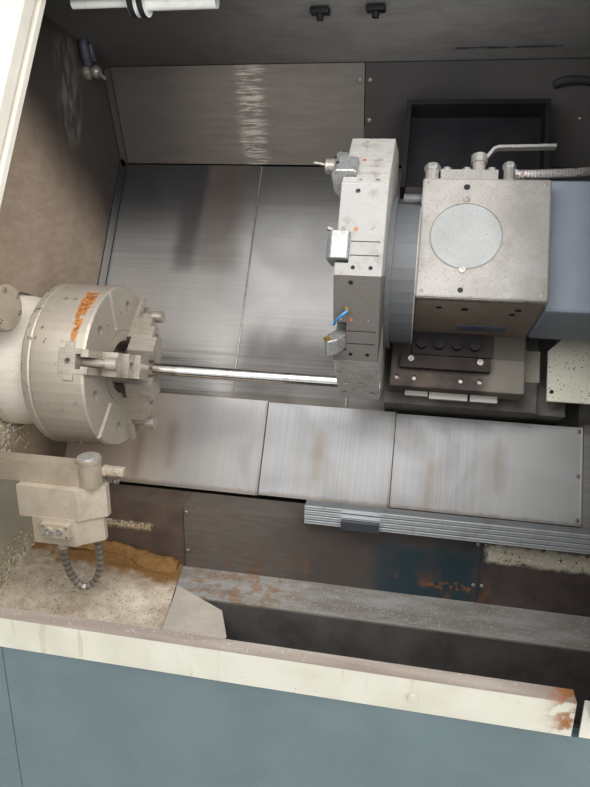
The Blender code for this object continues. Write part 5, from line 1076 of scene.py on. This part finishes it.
def housing_details():
    """Screws, drilled holes, nuts and small plates on the turret housing and the slide."""
    front = HOUSING_FRONT
    bm = bmesh.new()
    for x, u in ((0.634, 0.321), (0.633, 0.188)):
        socket_screw(bm, (x, u, front - 0.001), BED_OUT, 0.0062, 0.003)
    for x, u in ((0.567, 0.352), (0.765, 0.352), (0.567, 0.147), (0.765, 0.147)):
        button_screw(bm, (x, u, front - 0.0005), BED_OUT, 0.003, 0.0014)
    finish_piece("housing_screws", bm, "bolt", "cross_slide", BED)
    bm = bmesh.new()
    # Black cups: painted shade standing for the drilled holes' depth.
    for x, u, r in ((0.633, 0.344, 0.0056), (0.632, 0.151, 0.0048), (0.636, 0.251, 0.0028)):
        cup(bm, (x, u, front + 0.0001), BED_OUT, r)
    under = Vector((0, -1, 0))
    for x, n, r in ((0.6, 0.05, 0.0055), (0.645, 0.046, 0.0065), (0.735, 0.052, 0.006),
            (0.728, 0.03, 0.006)):
        cup(bm, (x, 0.1369, n), under, r)
    finish_piece("housing_holes", bm, "black", "cross_slide", BED)
    bm = bmesh.new()
    lathe(bm, [(0, 0), (0, 0.06), (0.0006, 0.0596), (0.0008, 0)],
        aim((0.636, 0.251, front + 0.0001), BED_OUT), 72)
    finish_piece("housing_round_cover", bm, "seal_disc", "cross_slide", BED)
    bm = bmesh.new()
    brick(bm, (0.64, 0.1357, -0.068), (0.729, 0.1369, -0.038), 0.0004)
    finish_piece("housing_bare_plate", bm, "marine", "cross_slide", BED)
    bm = bmesh.new()
    brick(bm, (0.558, 0.1363, 0.0845), (0.774, 0.1369, 0.0975), 0.0002)
    finish_piece("housing_chamfer_strip", bm, "bolt", "cross_slide", BED)
    bm = bmesh.new()
    top = HOUSING_TOP
    for x, n in ((0.745, 0.072), (0.598, 0.02), (0.735, 0.01)):
        socket_screw(bm, (x, top - 0.0005, n), (0, 1, 0), 0.0075, 0.008)
    lathe(bm, [(0, 0), (0, 0.015), (0.01, 0.015), (0.012, 0.0125), (0.012, 0)],
        aim((0.5715, top + 0.0392, 0.055), (0, 1, 0)), 24, (1, 2))
    for x, rise in ((0.598, 0.0378), (0.6335, 0.0378), (0.678, 0.0378)):
        lathe(bm, [(0, 0), (0, 0.0092), (0.006, 0.0092), (0.0072, 0.008), (0.0072, 0)],
            aim((x, top + rise, 0.055), (0, 1, 0)), 24, (1, 2))
    finish_piece("housing_top_bolts", bm, "bright", "cross_slide", BED)
    bm = bmesh.new()
    # Black sockets: painted shade standing for the sockets' depth.
    for x in (0.576, 0.61, 0.644, 0.678):
        lathe(bm, [(0, 0.0064), (0.0006, 0.0064), (0.0006, 0.0056), (-0.003, 0.0056), (-0.003, 0)],
            aim((x, 0.111, -0.0799), BED_OUT), 24, (2, 3, 4))
    finish_piece("slide_screw_sockets", bm, "black", "cross_slide", BED)
    bm = bmesh.new()
    for x in (0.532, 0.566, 0.656, 0.692):
        socket_screw(bm, (x, 0.043, -0.1098), BED_OUT, 0.0042, 0.0045)
    for x in (0.557, 0.69):
        socket_screw(bm, (x, 0.079, -0.0918), BED_OUT, 0.0064, 0.006)
    finish_piece("slide_screws", bm, "bolt", "cross_slide", BED)
    bm = bmesh.new()
    brick(bm, (0.778, 0.066, -0.1695), (0.815, 0.132, -0.1665), 0.0005)
    finish_piece("saddle_light_plate", bm, "plate", "carriage", BED)
    bm = bmesh.new()
    # Black cup: painted shade standing for the hole's depth.
    cup(bm, (0.836, 0.046, -0.1519), BED_OUT, 0.0042)
    finish_piece("side_plate_hole", bm, "black", "carriage", BED)


def setter_details():
    """Screws, cap, ports, stop and braided conduit of the tool setter."""
    plate_y, plate_z = -0.138, 0.134
    bm = bmesh.new()
    for a in (30, 100, 215, 335):
        y = plate_y + 0.032 * cos(radians(a))
        z = plate_z + 0.032 * sin(radians(a))
        socket_screw(bm, (-0.1405, y, z), (1, 0, 0), 0.0042, 0.003)
    finish_piece("setter_plate_screws", bm, "bolt", "machine")
    bm = bmesh.new()
    pivot_x, pivot_y = 0.012, -0.18
    lathe(bm, [(0, 0), (0, 0.02), (0.003, 0.02), (0.004, 0.0185), (0.004, 0)],
        aim((pivot_x, pivot_y, -0.1181), (0, 0, 1)), 40)
    finish_piece("setter_cap", bm, "bright", "machine")
    bm = bmesh.new()
    for x, y, r in ((-0.065, -0.047, 0.007), (-0.045, -0.044, 0.0055)):
        lathe(bm, [(0, r * 0.98), (0.0012, r * 0.98), (0.0012, r * 0.62), (0.0002, r * 0.6),
            (0.0002, r * 0.3), (0.001, r * 0.28), (0.001, 0)],
            aim((pivot_x + x, pivot_y + y - 0.0001, -0.247), (0, -1, 0)), 28)
    finish_piece("setter_ports", bm, "bright", "setter")
    bm = bmesh.new()
    for x in (-0.0775, -0.0325):
        for z in (-0.2575, -0.2395):
            socket_screw(bm, (pivot_x + x, pivot_y - 0.0419, z), (0, -1, 0), 0.0024, 0.0016)
    finish_piece("setter_port_screws", bm, "bolt", "setter")
    low = -0.281
    base = Vector((pivot_x, pivot_y, 0))
    route = [(-0.06, -0.012, low - 0.0183), (-0.06, -0.012, low - 0.023), (-0.059, -0.012, low - 0.045),
        (-0.051, -0.009, low - 0.08), (-0.035, -0.004, low - 0.103), (-0.016, 0.003, low - 0.098),
        (-0.003, 0.008, low - 0.072), (-0.001, 0.01, low - 0.04), (-0.002, 0.01, low - 0.018),
        (-0.002, 0.01, low - 0.01), (-0.002, 0.01, low - 0.0043)]
    conduit = tube("braided_conduit", [base + Vector(p) for p in route], 0.007, "conduit", "setter",
        count=90)
    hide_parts("setter_conduit")
    bm = bmesh.new()
    brick(bm, (0.0375, -0.173, -0.152), (0.071, -0.16, -0.138), 0.0008)
    button_screw(bm, (0.058, -0.1731, -0.145), (0, -1, 0), 0.0036, 0.002)
    finish_piece("setter_arm_stop", bm, "setter", "machine")
    bm = bmesh.new()
    brick(bm, (0.03, -0.176, -0.153), (0.038, -0.16, -0.137), 0.0006)
    finish_piece("setter_arm_stop_root", bm, "setter", "machine")


def coolant_hose():
    """Braided hose from the valve row, with its nut and port."""
    port = Vector((0.7243, 0.397, 0.055))
    route = [port, port + Vector((0.006, 0, 0)), port + Vector((0.036, 0.001, 0)),
        Vector((0.84, 0.407, 0.049)), Vector((0.885, 0.42, 0.042)), Vector((0.915, 0.425, 0.038)),
        Vector((0.93, 0.415, 0.035)), Vector((0.93, 0.402, 0.035)), Vector((0.93, 0.3953, 0.035))]
    hose = tube("braided_coolant_hose", route, 0.0085, "braid", "cross_slide", BED, 130)
    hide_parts("coolant_hose")
    bm = bmesh.new()
    lathe(bm, [(0, 0), (0, 0.01), (0.0045, 0.01), (0.0055, 0.009), (0.0055, 0)],
        aim((0.7186, 0.397, 0.055), (1, 0, 0)), 24, (1, 2))
    lathe(bm, [(0, 0), (0, 0.0118), (0.01, 0.0118), (0.0115, 0.01), (0.0115, 0)],
        aim((0.709, 0.4062, 0.055), (0, 1, 0)), 24, (1, 2))
    finish_piece("hose_fitting", bm, "bright", "cross_slide", BED)


def chute_crust():
    """Chips caked along the back edge of the chute, and the light plate beside it."""
    rng = np.random.default_rng(7)
    bm = bmesh.new()
    rows = []
    for i in range(41):
        t = i / 40
        x = -0.205 + t * 0.3
        z = -0.395 - t * 0.0505
        width = 0.02 + 0.012 * sin(9 * t) + 0.006 * rng.random()
        lift = 0.008 + 0.006 * rng.random()
        rows.append([bm.verts.new((x, 0.0192, z - 0.004)), bm.verts.new((x, 0.0185, z + lift)),
            bm.verts.new((x, 0.01, z + lift * 1.3)),
            bm.verts.new((x, 0.01 - width * 0.5, z + 0.003 + lift * 0.5)),
            bm.verts.new((x, 0.01 - width, z - 0.0035))])
    for a, b in zip(rows, rows[1:]):
        for i in range(4):
            bm.faces.new((a[i], a[i + 1], b[i + 1], b[i]))
        bm.faces.new((a[4], a[0], b[0], b[4]))
    bm.faces.new(rows[0])
    bm.faces.new(list(reversed(rows[-1])))
    finish_piece("chute_crust", bm, "crust", "machine", angle=70)
    bm = bmesh.new()
    outline = [(0.118, -0.06, -0.4455), (0.232, -0.12, -0.4465), (0.262, -0.19, -0.448),
        (0.238, -0.3, -0.454), (0.15, -0.26, -0.45)]
    slab(bm, outline, [(x, y, z + 0.0022) for x, y, z in outline])
    finish_piece("chute_light_plate", bm, "plate", "machine")


def flakes(name, count, seed, spot, size, look="flakes"):
    """Dried flakes stuck to a surface. spot gives a place and the way out of it."""
    rng = np.random.default_rng(seed)
    bm = bmesh.new()
    for _ in range(count):
        at, out = spot(rng)
        turn = Matrix.Rotation(rng.random() * 2 * pi, 4, "Z")
        place = aim(at, out) @ turn
        s = size * (0.4 + rng.random())
        ring = []
        for k in range(6):
            a = 2 * pi * k / 6
            r = s * (0.6 + 0.6 * rng.random())
            ring.append(bm.verts.new(place @ Vector((r * cos(a), r * sin(a), 0))))
        tip = bm.verts.new(place @ Vector((0.2 * s, 0.1 * s, s * (0.25 + 0.5 * rng.random()))))
        low = bm.verts.new(place @ Vector((0, 0, -0.3 * s)))
        for k in range(6):
            j = (k + 1) % 6
            bm.faces.new((ring[k], ring[j], tip))
            bm.faces.new((ring[j], ring[k], low))
    finish_piece(name, bm, look, "machine", angle=20)


def dirt():
    """Flakes on the wall and panel, grit on the ledge and sill."""

    def on_left_wall(rng):
        if rng.random() < 0.5:
            return (Vector((-0.2198, -0.1 + 0.045 * rng.normal(), -0.125 + 0.03 * rng.normal())), (1, 0, 0))
        return (Vector((-0.2198, -0.1 + 0.05 * rng.normal(), -0.425 + 0.03 * rng.normal())), (1, 0, 0))

    def on_ledge(rng):
        return (Vector((0.2 + 1.05 * rng.random(), -0.079 + 0.092 * rng.random(), -0.4499)), (0, 0, 1))

    def on_panel(rng):
        return (Vector((0.735 + 0.4 * rng.random(), 0.0199, -0.32 - 0.03 * rng.random())), (0, -1, 0))

    def on_sill(rng):
        return (Vector((-0.11 + 0.88 * rng.random(), -0.45 + 0.018 * rng.random(), -0.2519)), (0, 0, 1))

    def on_panel_left(rng):
        return (Vector((-0.15 + 0.17 * rng.random(), 0.0199, -0.354 - 0.014 * rng.random())), (0, -1, 0))

    flakes("wall_flakes", 900, 3, on_left_wall, 0.003)
    flakes("ledge_grit", 420, 4, on_ledge, 0.0014, "plate")
    flakes("panel_flakes", 260, 5, on_panel, 0.0016)
    flakes("sill_grit", 150, 6, on_sill, 0.001, "plate")
    flakes("panel_crumbs", 120, 8, on_panel_left, 0.0014)


def rail_ribs():
    """Bright drawn lips along the rail's ribs, either side of its trip block."""
    front = PANEL_FACE - RAIL_DEPTH
    pitch = RAIL_HEIGHT / RAIL_RIBS
    bm = bmesh.new()
    for rib in range(RAIL_RIBS):
        top = RAIL_BASE + (rib + 1) * pitch
        for x0, x1 in ((RAIL_START + 0.001, RAIL_START + 0.0745), (RAIL_START + 0.1505, RAIL_END)):
            brick(bm, (x0, front - 0.0012, top - 0.003), (x1, front - 0.0001, top - 0.0006))
    finish_piece("rail_lips", bm, "bright", "machine")


def console_details():
    """Screen in its recess and a block of key caps, on the operator's console."""
    lean = atan2(0.07, 0.41)
    face = SPINDLE @ Matrix.Translation((1.29, -0.52, 0.04)) @ Matrix.Rotation(-lean, 4, "X")
    bm = bmesh.new()
    brick(bm, (-0.2195, 0.0035, 0.1105), (0.0595, 0.0055, 0.3195), 0.0006)
    finish_piece("console_screen", bm, "screen", "machine", face)
    bm = bmesh.new()
    for row in range(5):
        for column in range(4):
            x = 0.092 + column * 0.032
            z = 0.152 + row * 0.034
            brick(bm, (x, -0.0052, z), (x + 0.02, -0.0039, z + 0.02), 0.0008)
    finish_piece("console_key_caps", bm, "grey", "machine", face)


covers_trim()
wall_details()
lamp_details()
turret_details()
housing_details()
setter_details()
coolant_hose()
chute_crust()
dirt()
rail_ribs()
console_details()


# Stage, lights and camera

WORLD_LEVEL = 0.70


def build_stage():
    """Pale floor, and a world that is brighter to the camera than as a light."""
    look = Look("pale_floor", 0, 0.7)
    tone = look.cloud(0.3, 0.7, 0.8, detail=4)
    look.base = look.mix(tone, (0.8, 0.8, 0.79), (0.77, 0.77, 0.76))
    look.finish(0.7)
    bm = bmesh.new()
    bmesh.ops.create_grid(bm, x_segments=1, y_segments=1, size=14)
    mesh = bpy.data.meshes.new("floor")
    bm.to_mesh(mesh)
    bm.free()
    mesh.materials.append(look.mat)
    floor = bpy.data.objects.new("floor", mesh)
    bpy.context.scene.collection.objects.link(floor)
    world = bpy.data.worlds.new("studio")
    world.use_nodes = True
    bpy.context.scene.world = world
    tree = world.node_tree
    back = tree.nodes["Background"]
    path = tree.nodes.new("ShaderNodeLightPath")
    seen = tree.nodes.new("ShaderNodeMath")
    seen.operation = "MAXIMUM"
    tree.links.new(path.outputs["Is Camera Ray"], seen.inputs[0])
    tree.links.new(path.outputs["Is Transmission Ray"], seen.inputs[1])
    level = tree.nodes.new("ShaderNodeMapRange")
    tree.links.new(seen.outputs[0], level.inputs[0])
    level.inputs[3].default_value = WORLD_LEVEL
    level.inputs[4].default_value = 0.95
    back.inputs["Color"].default_value = (0.97, 0.98, 1, 1)
    tree.links.new(level.outputs[0], back.inputs["Strength"])


def lamp(name, at, target, size, power):
    """Rectangular area light at a place, turned to a target."""
    data = bpy.data.lights.new(name, "AREA")
    data.shape = "RECTANGLE"
    data.size, data.size_y = size
    data.energy = power
    obj = bpy.data.objects.new(name, data)
    bpy.context.scene.collection.objects.link(obj)
    obj.matrix_world = aim(at, Vector(at) - Vector(target))
    return obj


build_stage()
lamp("key_light", (0.9, -3.0, 3.2), (-0.2, -0.2, 1.2), (3.2, 2.4), 42.0)
lamp("front_fill", (2.2, -2.8, 1.7), (-0.4, -0.2, 1.2), (2.6, 2.2), 44.0)
lamp("left_fill", (-1.6, -3.2, 2.2), (0.2, -0.1, 1.2), (2.0, 2.0), 16.0)
inside = lamp("opening_fill", (0.08, -0.82, 1.78), (-0.12, -0.12, 1.00), (1.5, 0.30), 10.5)
inside.visible_camera = False
lamp("rear_fill", (0.0, 4.0, 3.2), (0.0, 0.5, 1.0), (3.0, 2.0), 110.0)


# The photo's camera: its place in the spindle frame, its turns and its focal length in pixels
CAMERA_AT = (0.565, -1.148, 0.344)
YAW, ROLL, PITCH = 10.25, -4.24, 18.0
FOCAL_PIXELS = 647.6
PICTURE_WIDTH = 590.0
SENSOR_WIDTH = 36.0


def build_camera():
    """Camera where the photo was taken from, with the photo's horizon and focal length."""
    yaw, roll, pitch = radians(YAW), radians(ROLL), radians(PITCH)
    ahead = Vector((-sin(yaw), cos(yaw), 0))
    flat = Vector((cos(yaw), sin(yaw), 0))
    down = ahead.cross(flat)
    right = flat * cos(roll) + down * sin(roll)
    down = down * cos(roll) - flat * sin(roll)
    axes = Matrix((right, down, ahead)) @ Matrix.Rotation(pitch, 3, "X")
    right, down, ahead = axes
    data = bpy.data.cameras.new("photo_camera")
    data.sensor_fit = "HORIZONTAL"
    data.sensor_width = SENSOR_WIDTH
    data.lens = FOCAL_PIXELS / PICTURE_WIDTH * SENSOR_WIDTH
    data.clip_start = 0.02
    camera = bpy.data.objects.new("photo_camera", data)
    bpy.context.scene.collection.objects.link(camera)
    turn = Matrix((right, -down, -ahead)).transposed().to_4x4()
    camera.matrix_world = Matrix.Translation(ORIGIN + Vector(CAMERA_AT)) @ turn
    bpy.context.scene.camera = camera


build_camera()
bpy.context.scene.view_settings.view_transform = "Standard"
bpy.context.view_layer.update()
